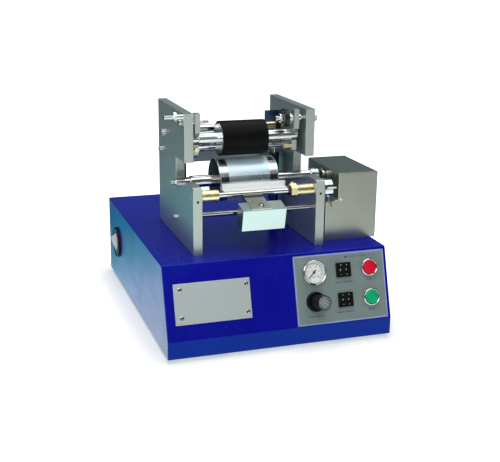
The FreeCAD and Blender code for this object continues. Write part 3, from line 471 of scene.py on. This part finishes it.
def paint_nodes():
    """Every CAD node takes the finish of its material slot, with a few of its own."""
    slots = {part["node"]: part["material_slot"] for part in frame["record"]["subparts"]}
    for name, piece in nodes.items():
        piece.material_slots[0].material = FINISHES[slots[name]]
    own = {"engraved_plate": etched_plate(), "bracket_plate": INKS["dark_bluish_steel"],
           "blank_cover_plate": satin("cover_plate", (0.52, 0.57, 0.565), (60, 2200, 2200)),
           # The cylinder's end faces are painted near-black as shade.
           "plate_cylinder": turned("cylinder_steel_shaded_ends", (0.66, 0.74, 0.78), 0.24, shaded_end_tone=(0.008, 0.007, 0.02)),
           "weight_block": brushed("weight_steel", (0.56, 0.68, 0.67), (60, 1800, 1800), 0.33),
           "doctor_blade": satin("blade_strip", (0.88, 0.90, 0.90), (60, 2200, 2200)),
           "blade_holder": satin("holder_strip", (0.88, 0.90, 0.90), (60, 2200, 2200)),
           "tie_rods": turned("tie_rod_steel", (0.40, 0.41, 0.43), 0.16),
           "weight_bracket": brushed("bracket_steel", (0.50, 0.53, 0.48), (1800, 60, 1800), 0.33)}
    for name, material in own.items():
        nodes[name].material_slots[0].material = material


# ---- mesh helpers

SHARP_ANGLE = math.radians(32)


def local_frame(origin, x_axis, y_axis):
    """Matrix that carries local x, y and z to the given axes at origin."""
    z_axis = x_axis.cross(y_axis)
    axes = Matrix((x_axis, y_axis, z_axis)).transposed().to_4x4()
    return Matrix.Translation(origin) @ axes


def revolve(bm, profile, origin, axis, segments=40, closed=False):
    """Surface of revolution; profile holds (radius, distance along the axis) points."""
    side = axis.orthogonal().normalized()
    other = axis.cross(side)
    rings = []
    for radius, distance in profile:
        ring = []
        for k in range(segments):
            turn = 2 * math.pi * k / segments
            spoke = side * math.cos(turn) + other * math.sin(turn)
            ring.append(bm.verts.new(origin + axis * distance + spoke * radius))
        rings.append(ring)
    pairs = list(zip(rings, rings[1:]))
    if closed:
        pairs.append((rings[-1], rings[0]))
    for low_ring, high_ring in pairs:
        for k in range(segments):
            after = (k + 1) % segments
            bm.faces.new((low_ring[k], low_ring[after], high_ring[after], high_ring[k]))
    if not closed:
        bm.faces.new(list(reversed(rings[0])))
        bm.faces.new(rings[-1])


def in_mm(profile):
    """The profile's millimetres as metres."""
    return [(radius * MM, distance * MM) for radius, distance in profile]


def at_x(x, place):
    """The point beside place that lies at x."""
    return Vector((x, place.y, place.z))


def slab(bm, place, x, y, z, edge=0.0):
    """A block in the local frame place, with its top edges drawn in by edge."""
    corners = []
    for height, inset in ((z[0], 0.0), (z[1], edge)):
        corners.append([bm.verts.new(place @ Vector((px, py, height))) for px, py in
                        ((x[0] + inset, y[0] + inset), (x[1] - inset, y[0] + inset),
                         (x[1] - inset, y[1] - inset), (x[0] + inset, y[1] - inset))])
    low_ring, high_ring = corners
    bm.faces.new(list(reversed(low_ring)))
    bm.faces.new(high_ring)
    for k in range(4):
        after = (k + 1) % 4
        bm.faces.new((low_ring[k], low_ring[after], high_ring[after], high_ring[k]))


def lettering(bm, text, size, place):
    """Raised figures from the built-in font, centred on the local frame place."""
    curve = bpy.data.curves.new("figures", "FONT")
    curve.body = text
    curve.size = size
    curve.extrude = 0.06 * MM
    curve.align_x = "CENTER"
    curve.align_y = "CENTER"
    holder = bpy.data.objects.new("figures", curve)
    mesh = bpy.data.meshes.new_from_object(holder)
    mesh.transform(place)
    bm.from_mesh(mesh)
    bpy.data.meshes.remove(mesh)
    bpy.data.objects.remove(holder)
    bpy.data.curves.remove(curve)


def piece(name, bm, body, slot, material, smooth=True):
    """Make an object from bm that rides on body."""
    bmesh.ops.recalc_face_normals(bm, faces=bm.faces[:])
    mesh = bpy.data.meshes.new(name)
    bm.to_mesh(mesh)
    bm.free()
    mesh.materials.append(material)
    made = bpy.data.objects.new(name, mesh)
    bpy.context.scene.collection.objects.link(made)
    if smooth:
        mesh.shade_smooth()
        mesh.set_sharp_from_angle(angle=SHARP_ANGLE)
    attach(made, body)


def joint_place(name):
    return Vector(joints[name]["pos_m"])


# ---- slope instruments

SLOPE_NORMAL = Vector(joints["needle_turn"]["axis"]).normalized()
SLOPE_UP = SLOPE_NORMAL.cross(X_AXIS)
NEEDLE_HEIGHT = 5.0 * MM
DIAL_HEIGHT = 4.22 * MM
PRINT_HEIGHT = 2.0 * MM + 0.02 * MM
INK_THICK = 0.08 * MM
GAUGE_START_DEG = 225
GAUGE_SWEEP_DEG = 270
KEY_OFFSET = 8 * MM


def on_slope(point, height):
    """Local frame on the slope at point, lifted to a height above the painted slope."""
    level = joint_place("needle_turn") - SLOPE_NORMAL * NEEDLE_HEIGHT
    drop = (point - level).dot(SLOPE_NORMAL)
    origin = point - SLOPE_NORMAL * (drop - height)
    return local_frame(origin, X_AXIS, SLOPE_UP)


def node_middle(name):
    low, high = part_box(name)
    return (Vector(low) + Vector(high)) / 2


def front_of(name, centre):
    """How far the node's foremost point stands in front of centre, square to the slope."""
    return max((v.co - centre).dot(SLOPE_NORMAL) for v in nodes[name].data.vertices)


def make_gauge_scale():
    """Scale arc, ticks and figures on the pressure dial."""
    dial = on_slope(joint_place("needle_turn"), DIAL_HEIGHT)
    bm = bmesh.new()
    steps, tick_end, arc, figure_ring = 50, 15.6 * MM, (15.5 * MM, 15.85 * MM), 9.9 * MM
    for k in range(steps + 1):
        turn = math.radians(GAUGE_START_DEG - GAUGE_SWEEP_DEG * k / steps)
        major = k % 5 == 0
        length = (3.4 if major else 1.8) * MM
        half = (0.28 if major else 0.13) * MM
        spoke = dial @ Matrix.Rotation(turn, 4, "Z")
        slab(bm, spoke, (tick_end - length, tick_end), (-half, half), (0, INK_THICK))
        arc_half = math.tan(math.radians(2.75)) * 15.7 * MM
        slab(bm, spoke, arc, (-arc_half, arc_half), (0, INK_THICK))
    for k in range(6):
        turn = math.radians(GAUGE_START_DEG - GAUGE_SWEEP_DEG / 5 * k)
        seat = (figure_ring * math.cos(turn), figure_ring * math.sin(turn), 0.05 * MM)
        place = dial @ Matrix.Translation(seat)
        lettering(bm, str(2 * k), 4.2 * MM, place)
    slab(bm, dial, (-3.2 * MM, 3.2 * MM), (-8.3 * MM, -7.5 * MM), (0, INK_THICK))
    piece("gauge_scale", bm, "frame", "black_plastic", INKS["ink_black"], smooth=False)


def panel_corners():
    """Local frame at the middle of the control panel, its half width and its half height."""
    low, high = (Vector(corner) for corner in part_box("control_panel_plate"))
    middle = (low + high) / 2
    half_width = (high.x - low.x) / 2
    half_height = (high.z - low.z) / 2 / SLOPE_UP.z
    return on_slope(middle, PRINT_HEIGHT), half_width, half_height


def make_panel_border():
    """Light line printed just inside the edge of the control panel."""
    place, half_width, half_height = panel_corners()
    inset, width, thick = 0.4 * MM, 1.9 * MM, INK_THICK
    x, y = half_width - inset, half_height - inset - 0.6 * MM
    bm = bmesh.new()
    for side in (-1, 1):
        slab(bm, place, (-x, x), sorted((side * y, side * (y - width))), (0, thick))
        slab(bm, place, sorted((side * x, side * (x - width))), (-y, y), (0, thick))
    piece("panel_border", bm, "frame", "panel_grey", INKS["ink_lilac"], smooth=False)


def caption(bm, place, length, height=2.4 * MM, words=(3, 4)):
    """A made-up caption: short upright dashes in groups, which spell nothing."""
    step = length / (sum(words) + len(words) - 1)
    x = -length / 2
    for letters in words:
        for n in range(letters):
            tall = height / 2 if n % 2 else height / 2.6
            slab(bm, place, (x, x + step * 0.36), (-height / 2, tall), (0, 0.07 * MM))
            bar = -height / 2 if n % 3 else 0.1 * height
            slab(bm, place, (x, x + step * 0.86), (bar, bar + 0.36 * height), (0, 0.07 * MM))
            x += step
        x += step


def make_captions():
    """Legends of the panel: dashes under each control, and a title line with a block before it."""
    bm = bmesh.new()
    level = PRINT_HEIGHT
    for row in ("upper", "lower"):
        middle = (joint_place(f"wheel_{row}_left_turn") + joint_place(f"wheel_{row}_right_turn")) / 2
        caption(bm, on_slope(middle - SLOPE_UP * 21 * MM, level), 33 * MM, words=(4, 5))
    caption(bm, on_slope(joint_place("knob_turn") - SLOPE_UP * 25 * MM, level), 29 * MM, words=(8,))
    for cap in ("stop_button_cap", "start_button_cap"):
        caption(bm, on_slope(node_middle(cap) - SLOPE_UP * 20.6 * MM, level), 12 * MM, words=(4,))
    title = node_middle("stop_button_cap") + SLOPE_UP * 21.5 * MM
    caption(bm, on_slope(title - X_AXIS * 10 * MM, level), 50 * MM, 1.7 * MM, (5, 6, 4))
    block = on_slope(title - X_AXIS * 41 * MM, level)
    slab(bm, block, (-3 * MM, 3 * MM), (-1.5 * MM, 1.5 * MM), (0, 0.07 * MM))
    piece("panel_captions", bm, "frame", "panel_grey", INKS["ink_violet"], smooth=False)


def make_selector_keys():
    """Round push keys above and below each digit wheel, with plus and minus marks."""
    keys, marks = bmesh.new(), bmesh.new()
    for row in ("upper", "lower"):
        for side in ("left", "right"):
            wheel = joint_place(f"wheel_{row}_{side}_turn")
            for sign in (-1, 1):
                at = wheel + SLOPE_UP * sign * KEY_OFFSET
                base = on_slope(at, 5.25 * MM)
                profile = [(1.35, 0), (1.35, 0.9), (1.1, 1.15), (0.3, 1.2)]
                revolve(keys, in_mm(profile), base.to_translation(), SLOPE_NORMAL, 20)
                face = on_slope(at, 6.5 * MM)
                slab(marks, face, (-0.85 * MM, 0.85 * MM), (-0.27 * MM, 0.27 * MM), (0, 0.1 * MM))
                if sign > 0:
                    slab(marks, face, (-0.27 * MM, 0.27 * MM), (-0.85 * MM, 0.85 * MM), (0, 0.1 * MM))
    piece("selector_keys", keys, "frame", "black_plastic", FINISHES["black_plastic"])
    piece("selector_marks", marks, "frame", "white_plastic", INKS["ink_white"], smooth=False)


def make_wheel_digits():
    """Figures 0 to 9 round each digit wheel."""
    for row in ("upper", "lower"):
        for side in ("left", "right"):
            name = f"wheel_{row}_{side}"
            low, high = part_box(f"digit_{name}")
            centre = joint_place(f"{name}_turn")
            radius = (Vector(high) - Vector(low)).y / 2
            bm = bmesh.new()
            for digit in range(10):
                spin = Matrix.Rotation(math.radians(36 * digit), 3, "X")
                out, up = spin @ SLOPE_NORMAL, spin @ SLOPE_UP
                place = local_frame(centre + out * (radius - 0.02 * MM), X_AXIS, up)
                lettering(bm, str(digit), 4.6 * MM, place)
            piece(f"digits_{row}_{side}", bm, name, "white_plastic", INKS["ink_white"], smooth=False)


def make_knob_face():
    """Printed disc, raised ring and radial marks on the regulator knob's end."""
    centre = joint_place("knob_turn")
    origin = centre + SLOPE_NORMAL * front_of("regulator_knob", centre)
    bm = bmesh.new()
    disc = [(10.6, -0.3), (10.6, 0.1), (10.2, 0.35), (0.1, 0.4)]
    revolve(bm, in_mm(disc), origin, SLOPE_NORMAL, 48)
    grey = moulded("knob_print", (0.27, 0.30, 0.30), 0.4, 1100, 0.05, 0.2)
    piece("knob_disc", bm, "knob", "black_plastic", grey)
    bm = bmesh.new()
    ring = [(9.6, 0.3), (9.6, 0.6), (9.0, 0.6), (9.0, 0.3)]
    revolve(bm, in_mm(ring), origin, SLOPE_NORMAL, 48, closed=True)
    face = local_frame(origin, X_AXIS, SLOPE_UP)
    raised = (0.3 * MM, 0.6 * MM)
    for k in range(24):
        spoke = face @ Matrix.Rotation(math.radians(15 * k), 4, "Z")
        if k % 6:
            slab(bm, spoke, (6.2 * MM, 8.2 * MM), (-0.5 * MM, 0.5 * MM), raised, 0.1 * MM)
    for k in range(4):
        spoke = face @ Matrix.Rotation(math.radians(90 * k), 4, "Z")
        slab(bm, spoke, (2.0 * MM, 4.8 * MM), (-0.7 * MM, 0.7 * MM), raised, 0.1 * MM)
    piece("knob_marks", bm, "knob", "black_plastic", FINISHES["black_plastic"])


def make_regulator_collar():
    """Knurled collar on the regulator's flange."""
    centre = joint_place("knob_turn")
    base = on_slope(centre, 7.0 * MM)
    bm = bmesh.new()
    profile = [(16.2, 0), (16.2, 1.2), (15.6, 1.8), (14.4, 1.8), (14.4, 0)]
    revolve(bm, in_mm(profile), base.to_translation(), SLOPE_NORMAL, 60, closed=True)
    ribs = 40
    for k in range(ribs):
        spoke = base @ Matrix.Rotation(2 * math.pi * k / ribs, 4, "Z")
        slab(bm, spoke, (15.9 * MM, 16.7 * MM), (-0.5 * MM, 0.5 * MM), (0, 1.4 * MM), 0.15 * MM)
    piece("regulator_collar", bm, "frame", "black_plastic", FINISHES["black_plastic"])


def make_button_fronts():
    """Crowned face of each button cap, and the rounded chrome rim round it."""
    for cap, body, slot in (("stop_button_cap", "stop_button", "red_plastic"),
                            ("start_button_cap", "start_button", "green_plastic")):
        low, high = (Vector(corner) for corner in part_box(cap))
        radius = (high.x - low.x) / 2
        middle = node_middle(cap)
        base = middle + SLOPE_NORMAL * front_of(cap, middle)
        bm = bmesh.new()
        profile = [(0.93, -0.2), (0.93, 0.1), (0.88, 0.35), (0.6, 0.5), (0.2, 0.55), (0.02, 0.56)]
        revolve(bm, [(r * radius, h * MM) for r, h in profile], base, SLOPE_NORMAL, 48)
        piece(cap.replace("cap", "face"), bm, body, slot, FINISHES[slot])
        face = max((v.co - middle).dot(SLOPE_NORMAL) for v in nodes["button_bezels"].data.vertices
                   if abs((v.co - middle).dot(SLOPE_UP)) < 2 * radius)
        rim = [(0.4, -0.4), (0.4, 0.5), (0.8, 1.3), (1.5, 1.6), (2.3, 1.2), (3.0, 0.3), (3.3, -0.6)]
        bm = bmesh.new()
        rim_profile = [(radius + r * MM, h * MM) for r, h in rim]
        revolve(bm, rim_profile, middle + SLOPE_NORMAL * face, SLOPE_NORMAL, 64, True)
        piece(cap.replace("cap", "rim"), bm, "frame", "chrome", INKS["rim_chrome"])


def make_gauge_trim():
    """Rounded chrome rim of the gauge, and the black hub, pointer and tail of its needle."""
    low, high = (Vector(corner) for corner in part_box("gauge_case"))
    centre = joint_place("needle_turn")
    radius = (high.x - low.x) / 2
    rim_seat = centre + SLOPE_NORMAL * front_of("gauge_case", centre)
    rim = [(0.87, -2.0), (0.87, 0.0), (0.89, 0.7), (0.93, 1.0), (0.97, 0.6), (0.995, -0.3), (0.995, -2.0)]
    bm = bmesh.new()
    revolve(bm, [(r * radius, h * MM) for r, h in rim], rim_seat, SLOPE_NORMAL, 72, True)
    piece("gauge_rim", bm, "frame", "chrome", INKS["rim_chrome"])
    bm = bmesh.new()
    front = centre + SLOPE_NORMAL * 0.55 * MM
    hub = [(2.6, 0), (2.6, 0.5), (1.8, 0.8), (0.1, 0.85)]
    revolve(bm, in_mm(hub), front, SLOPE_NORMAL, 32)
    blade = local_frame(front, X_AXIS, SLOPE_UP) @ Matrix.Rotation(math.radians(GAUGE_START_DEG), 4, "Z")
    slab(bm, blade, (-5.5 * MM, 13.5 * MM), (-0.75 * MM, 0.75 * MM), (0.05 * MM, 0.35 * MM), 0.1 * MM)
    slab(bm, blade, (-5.5 * MM, -1.5 * MM), (-1.3 * MM, 1.3 * MM), (0.05 * MM, 0.35 * MM), 0.1 * MM)
    piece("needle_hub", bm, "needle", "black_metal", FINISHES["black_metal"])


# ---- fasteners and small machine parts

THREAD_PITCH = 1.25
THREAD_DEPTH = 0.3
WEIGHT_TILT = math.radians(13)


def thread(name, body, start, end, centre, radius):
    """Threaded sleeve along X over a plain rod, crests and roots by turns."""
    bm = bmesh.new()
    pitch, crest = THREAD_PITCH, (radius + THREAD_DEPTH) * MM
    turns = int((end - start) / (pitch * MM))
    profile = [(radius * MM - 0.2 * MM, 0)]
    for k in range(turns):
        at = k * pitch * MM
        profile += [(radius * MM, at + 0.15 * pitch * MM), (crest, at + 0.45 * pitch * MM),
                    (crest, at + 0.6 * pitch * MM), (radius * MM, at + 0.9 * pitch * MM)]
    profile.append((radius * MM - 0.2 * MM, end - start))
    revolve(bm, profile, at_x(start, centre), X_AXIS, 28)
    piece(name, bm, body, "chrome", FINISHES["chrome"])


def socket_screw(bm, place, head_r, head_h):
    """Button-head screw with a round socket, standing on the local frame place."""
    top = place.to_translation()
    axis = (place.to_3x3() @ Z_AXIS).normalized()
    profile = [(head_r, 0), (head_r, 0.25 * head_h), (0.86 * head_r, 0.7 * head_h),
               (0.62 * head_r, head_h), (0.42 * head_r, head_h), (0.40 * head_r, 0.45 * head_h)]
    revolve(bm, in_mm(profile), top, axis, 36)


def make_weight_screw():
    """Socket screw and washer on the weight's bracket."""
    low, high = (Vector(corner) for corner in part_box("weight_bracket"))
    up = Vector((0, -math.sin(WEIGHT_TILT), math.cos(WEIGHT_TILT)))
    across = up.cross(X_AXIS)
    middle_x = (low.x + high.x) / 2 + 3 * MM
    tops = [v.co for v in nodes["weight_bracket"].data.vertices if v.co.y < low.y + 2 * MM]
    edge = max(tops, key=lambda co: co.dot(up))
    origin = at_x(middle_x, edge) + across * 11.5 * MM
    bm = bmesh.new()
    washer = [(5.4, -0.1), (5.4, 0.9), (3, 0.9), (3, -0.1)]
    revolve(bm, in_mm(washer), origin, up, 32, True)
    socket_screw(bm, local_frame(origin + up * 0.9 * MM, X_AXIS, across), 4.2, 3.0)
    piece("weight_screw", bm, "blade", "chrome", FINISHES["chrome"])


def make_spring():
    """Compression spring round the right stop bolt, between the adjusting wheel and the right arm."""
    wheel = joint_place("pressure_wheel_turn")
    arm = Vector(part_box("right_arm")[0])
    start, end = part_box("adjusting_wheel")[1][0] + 0.6 * MM, arm.x - 1.0 * MM
    turns, per_turn, sides, radius, wire = 5, 28, 8, 6.6 * MM, 0.7 * MM
    bm = bmesh.new()
    rings = []
    count = turns * per_turn
    for k in range(count + 1):
        turn = 2 * math.pi * k / per_turn
        spoke = Vector((0, math.cos(turn), math.sin(turn)))
        centre = at_x(start + (end - start) * k / count, wheel) + spoke * radius
        ring = []
        for n in range(sides):
            tilt = 2 * math.pi * n / sides
            offset = spoke * wire * math.cos(tilt) + X_AXIS * wire * math.sin(tilt)
            ring.append(bm.verts.new(centre + offset))
        rings.append(ring)
    for first, second in zip(rings, rings[1:]):
        for n in range(sides):
            after = (n + 1) % sides
            bm.faces.new((first[n], first[after], second[after], second[n]))
    bm.faces.new(list(reversed(rings[0])))
    bm.faces.new(rings[-1])
    piece("pressure_spring", bm, "carriage", "chrome", FINISHES["chrome"])


def collar_on_x(name, body, slot, material, centre, start, length, inner, outer, edge=0.6):
    """Round collar along X with broken edges, over a shaft."""
    bm = bmesh.new()
    profile = [(inner, 0), (outer - edge, 0), (outer, edge), (outer, length - edge),
               (outer - edge, length), (inner, length)]
    revolve(bm, in_mm(profile), at_x(start, centre), X_AXIS, 48, True)
    piece(name, bm, body, slot, material)


def make_collars():
    """Black collars on the upper carriage rod, coupling and blade shaft, and two rings on its bush."""
    rods_high = Vector(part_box("carriage_rods")[1])
    rod_radius = 6.5 * MM
    rod = Vector((0, rods_high.y - rod_radius, rods_high.z - rod_radius))
    black = FINISHES["black_metal"]
    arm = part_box("right_arm")[0][0]
    collar_on_x("rod_collar", "carriage", "black_metal", black, rod, arm - 11.5 * MM, 9, 9.55, 12.2)
    shaft = joint_place("cylinder_spin")
    hub_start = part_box("drive_shaft")[0][0]
    ring_start = hub_start + 14.5 * MM
    collar_on_x("coupling_ring", "cylinder", "black_metal", black, shaft, ring_start, 5.5, 10.45, 12.6)
    blade = joint_place("blade_swing")
    nut_low, nut_high = (Vector(corner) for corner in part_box("blade_collar"))
    spacer_start = nut_low.x - 3.4 * MM
    collar_on_x("collar_spacer", "blade", "black_metal", black, blade, spacer_start, 3.2, 4.55, 8.0)
    brass = FINISHES["brass"]
    for start in (nut_high.x + 4 * MM, nut_high.x + 22 * MM):
        name = f"bush_groove_{round(start / MM)}"
        collar_on_x(name, "frame", "brass", brass, blade, start, 1.2, 9.9, 10.6, 0.3)


def make_wheel_band():
    """Knurled black band on the adjusting wheel, with bright pins round its face."""
    wheel = joint_place("pressure_wheel_turn")
    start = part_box("adjusting_wheel")[0][0]
    bm = bmesh.new()
    band = [(8.0, -3.6), (13.6, -3.6), (14.4, -2.8), (14.4, 0.0), (8.0, 0.0)]
    revolve(bm, in_mm(band), at_x(start, wheel), X_AXIS, 48, True)
    rib = local_frame(at_x(start, wheel), Y_AXIS, Z_AXIS)
    for k in range(36):
        spoke = rib @ Matrix.Rotation(math.radians(10 * k), 4, "Z")
        slab(bm, spoke, (14.2 * MM, 15.0 * MM), (-0.5 * MM, 0.5 * MM), (-2.8 * MM, 0))
    piece("wheel_band", bm, "pressure_wheel", "black_metal", FINISHES["black_metal"])
    bm = bmesh.new()
    for k in range(6):
        turn = math.radians(60 * k + 20)
        out = Vector((0, math.cos(turn), math.sin(turn)))
        seat = at_x(start - 3.6 * MM, wheel) + out * 11 * MM
        pin = [(1.3, -0.1), (1.3, 0.6), (0.9, 0.9), (0.1, 1.0)]
        revolve(bm, in_mm(pin), seat, -X_AXIS, 16)
    piece("wheel_pins", bm, "pressure_wheel", "chrome", FINISHES["chrome"])


def make_guard_threads():
    """Threads down the tapped guard hole in the front edge of each side plate, black as painted shade inside the
    hole.
    """
    bm = bmesh.new()
    mount = [entry for entry in frame["record"]["mounts"] if entry["name"] == "guard_holes"][0]
    middle = Vector(mount["pos_m"])
    spread, radius, sides = mount["dims"]["spacing_x_mm"] / 2, mount["dims"]["hole_r_mm"] - 0.05, 28
    for side in (-1, 1):
        mouth = middle + X_AXIS * side * spread * MM
        lining = [(radius, 0.2)]
        for k in range(7):
            lining += [(radius - 0.35, 0.6 + 0.8 * k), (radius, 1.0 + 0.8 * k)]
        lining.append((0.1, 6.6))
        revolve(bm, in_mm(lining), mouth, Y_AXIS, sides)
    bm.faces.ensure_lookup_table()
    mouths = [face for face in bm.faces
              if len(face.verts) == sides and abs(face.calc_center_median().y - middle.y) < MM]
    bmesh.ops.delete(bm, geom=mouths, context="FACES_ONLY")
    # Black lining: painted shade down the holes.
    piece("guard_hole_shaded_threads", bm, "frame", "black_metal", FINISHES["black_metal"])


def make_threads():
    """Visible threads of the lock stud and of both stop bolts."""
    bolt = joint_place("pressure_wheel_turn")
    stud_low = Vector(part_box("frame_screws")[0])
    left_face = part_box("left_side_plate")[0][0]
    lock = Vector((0, bolt.y - 11.6 * MM, bolt.z + 11.5 * MM))
    thread("lock_stud_thread", "frame", stud_low.x, left_face - 17 * MM, lock, 3.4)
    wheel = Vector(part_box("adjusting_wheel")[0])
    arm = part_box("left_arm")[1][0]
    thread("left_stop_thread", "carriage", arm + 6 * MM, arm + 16 * MM, bolt, 3.0)
    thread("right_stop_thread", "carriage", wheel.x - 16.5 * MM, wheel.x - 10.6 * MM, bolt, 4.2)


def make_rear_screws():
    """Screws of the rear panel and of the mains inlet."""
    bm = bmesh.new()
    low, high = (Vector(corner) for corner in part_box("rear_panel"))
    back = local_frame(Vector((0, high.y, 0)), -X_AXIS, Z_AXIS)
    inset = 9 * MM
    for x in (low.x + inset, (low.x + high.x) / 2, high.x - inset):
        for z in (low.z + inset, high.z - inset):
            socket_screw(bm, back @ Matrix.Translation((-x, z, 0)), 3.4, 2.0)
    piece("rear_panel_screws", bm, "frame", "chrome", FINISHES["chrome"])
    bm = bmesh.new()
    low, high = (Vector(corner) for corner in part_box("mains_inlet"))
    middle = (low + high) / 2
    inlet = local_frame(Vector((0, high.y, 0)), -X_AXIS, Z_AXIS)
    for side in (-1, 1):
        socket_screw(bm, inlet @ Matrix.Translation((-(middle.x + side * 20 * MM), middle.z, 0)), 2.8, 1.8)
    piece("mains_inlet_screws", bm, "frame", "chrome", FINISHES["chrome"])


def make_isolator_marks():
    """White position marks and a rim on the isolator's black plate."""
    low, high = (Vector(corner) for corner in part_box("isolator_plate"))
    middle = (low + high) / 2
    face = local_frame(Vector((low.x, middle.y, middle.z)), -Y_AXIS, Z_AXIS)
    bm = bmesh.new()
    for turn in (90, 180):
        spoke = face @ Matrix.Rotation(math.radians(turn), 4, "Z")
        slab(bm, spoke, (22 * MM, 26.5 * MM), (-0.9 * MM, 0.9 * MM), (0, 0.1 * MM))
    for k in range(-3, 4):
        spoke = face @ Matrix.Rotation(math.radians(135 + 5 * k), 4, "Z")
        slab(bm, spoke, (23.5 * MM, 24.5 * MM), (-1.0 * MM, 1.0 * MM), (0, 0.1 * MM))
    piece("isolator_marks", bm, "frame", "white_plastic", INKS["ink_white"], smooth=False)
    bm = bmesh.new()
    rim = [(29.9, -0.1), (29.9, 0.8), (29.2, 1.3), (28.2, 1.3), (27.6, 0.0), (27.6, -0.1)]
    revolve(bm, in_mm(rim), face.to_translation(), -X_AXIS, 72, closed=True)
    piece("isolator_rim", bm, "frame", "black_plastic", FINISHES["black_plastic"])


def make_seat_ring():
    """Thin ring on the left plate's outer face, in line with the blade shaft."""
    blade = joint_place("blade_swing")
    left_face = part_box("left_side_plate")[0][0]
    bm = bmesh.new()
    profile = [(6.5, 0), (6.5, 0.25), (7.2, 0.35), (7.9, 0.25), (7.9, 0)]
    revolve(bm, in_mm(profile), at_x(left_face, blade), -X_AXIS, 48, True)
    piece("plate_plug_ring", bm, "frame", "frame_plate", FINISHES["frame_plate"])


make_camera()
make_floor()
make_light()
paint_nodes()
make_gauge_scale()
make_panel_border()
make_captions()
make_selector_keys()
make_wheel_digits()
make_knob_face()
make_regulator_collar()
make_button_fronts()
make_gauge_trim()
make_threads()
make_wheel_band()
make_guard_threads()
make_weight_screw()
make_spring()
make_collars()
make_rear_screws()
make_isolator_marks()
make_seat_ring()
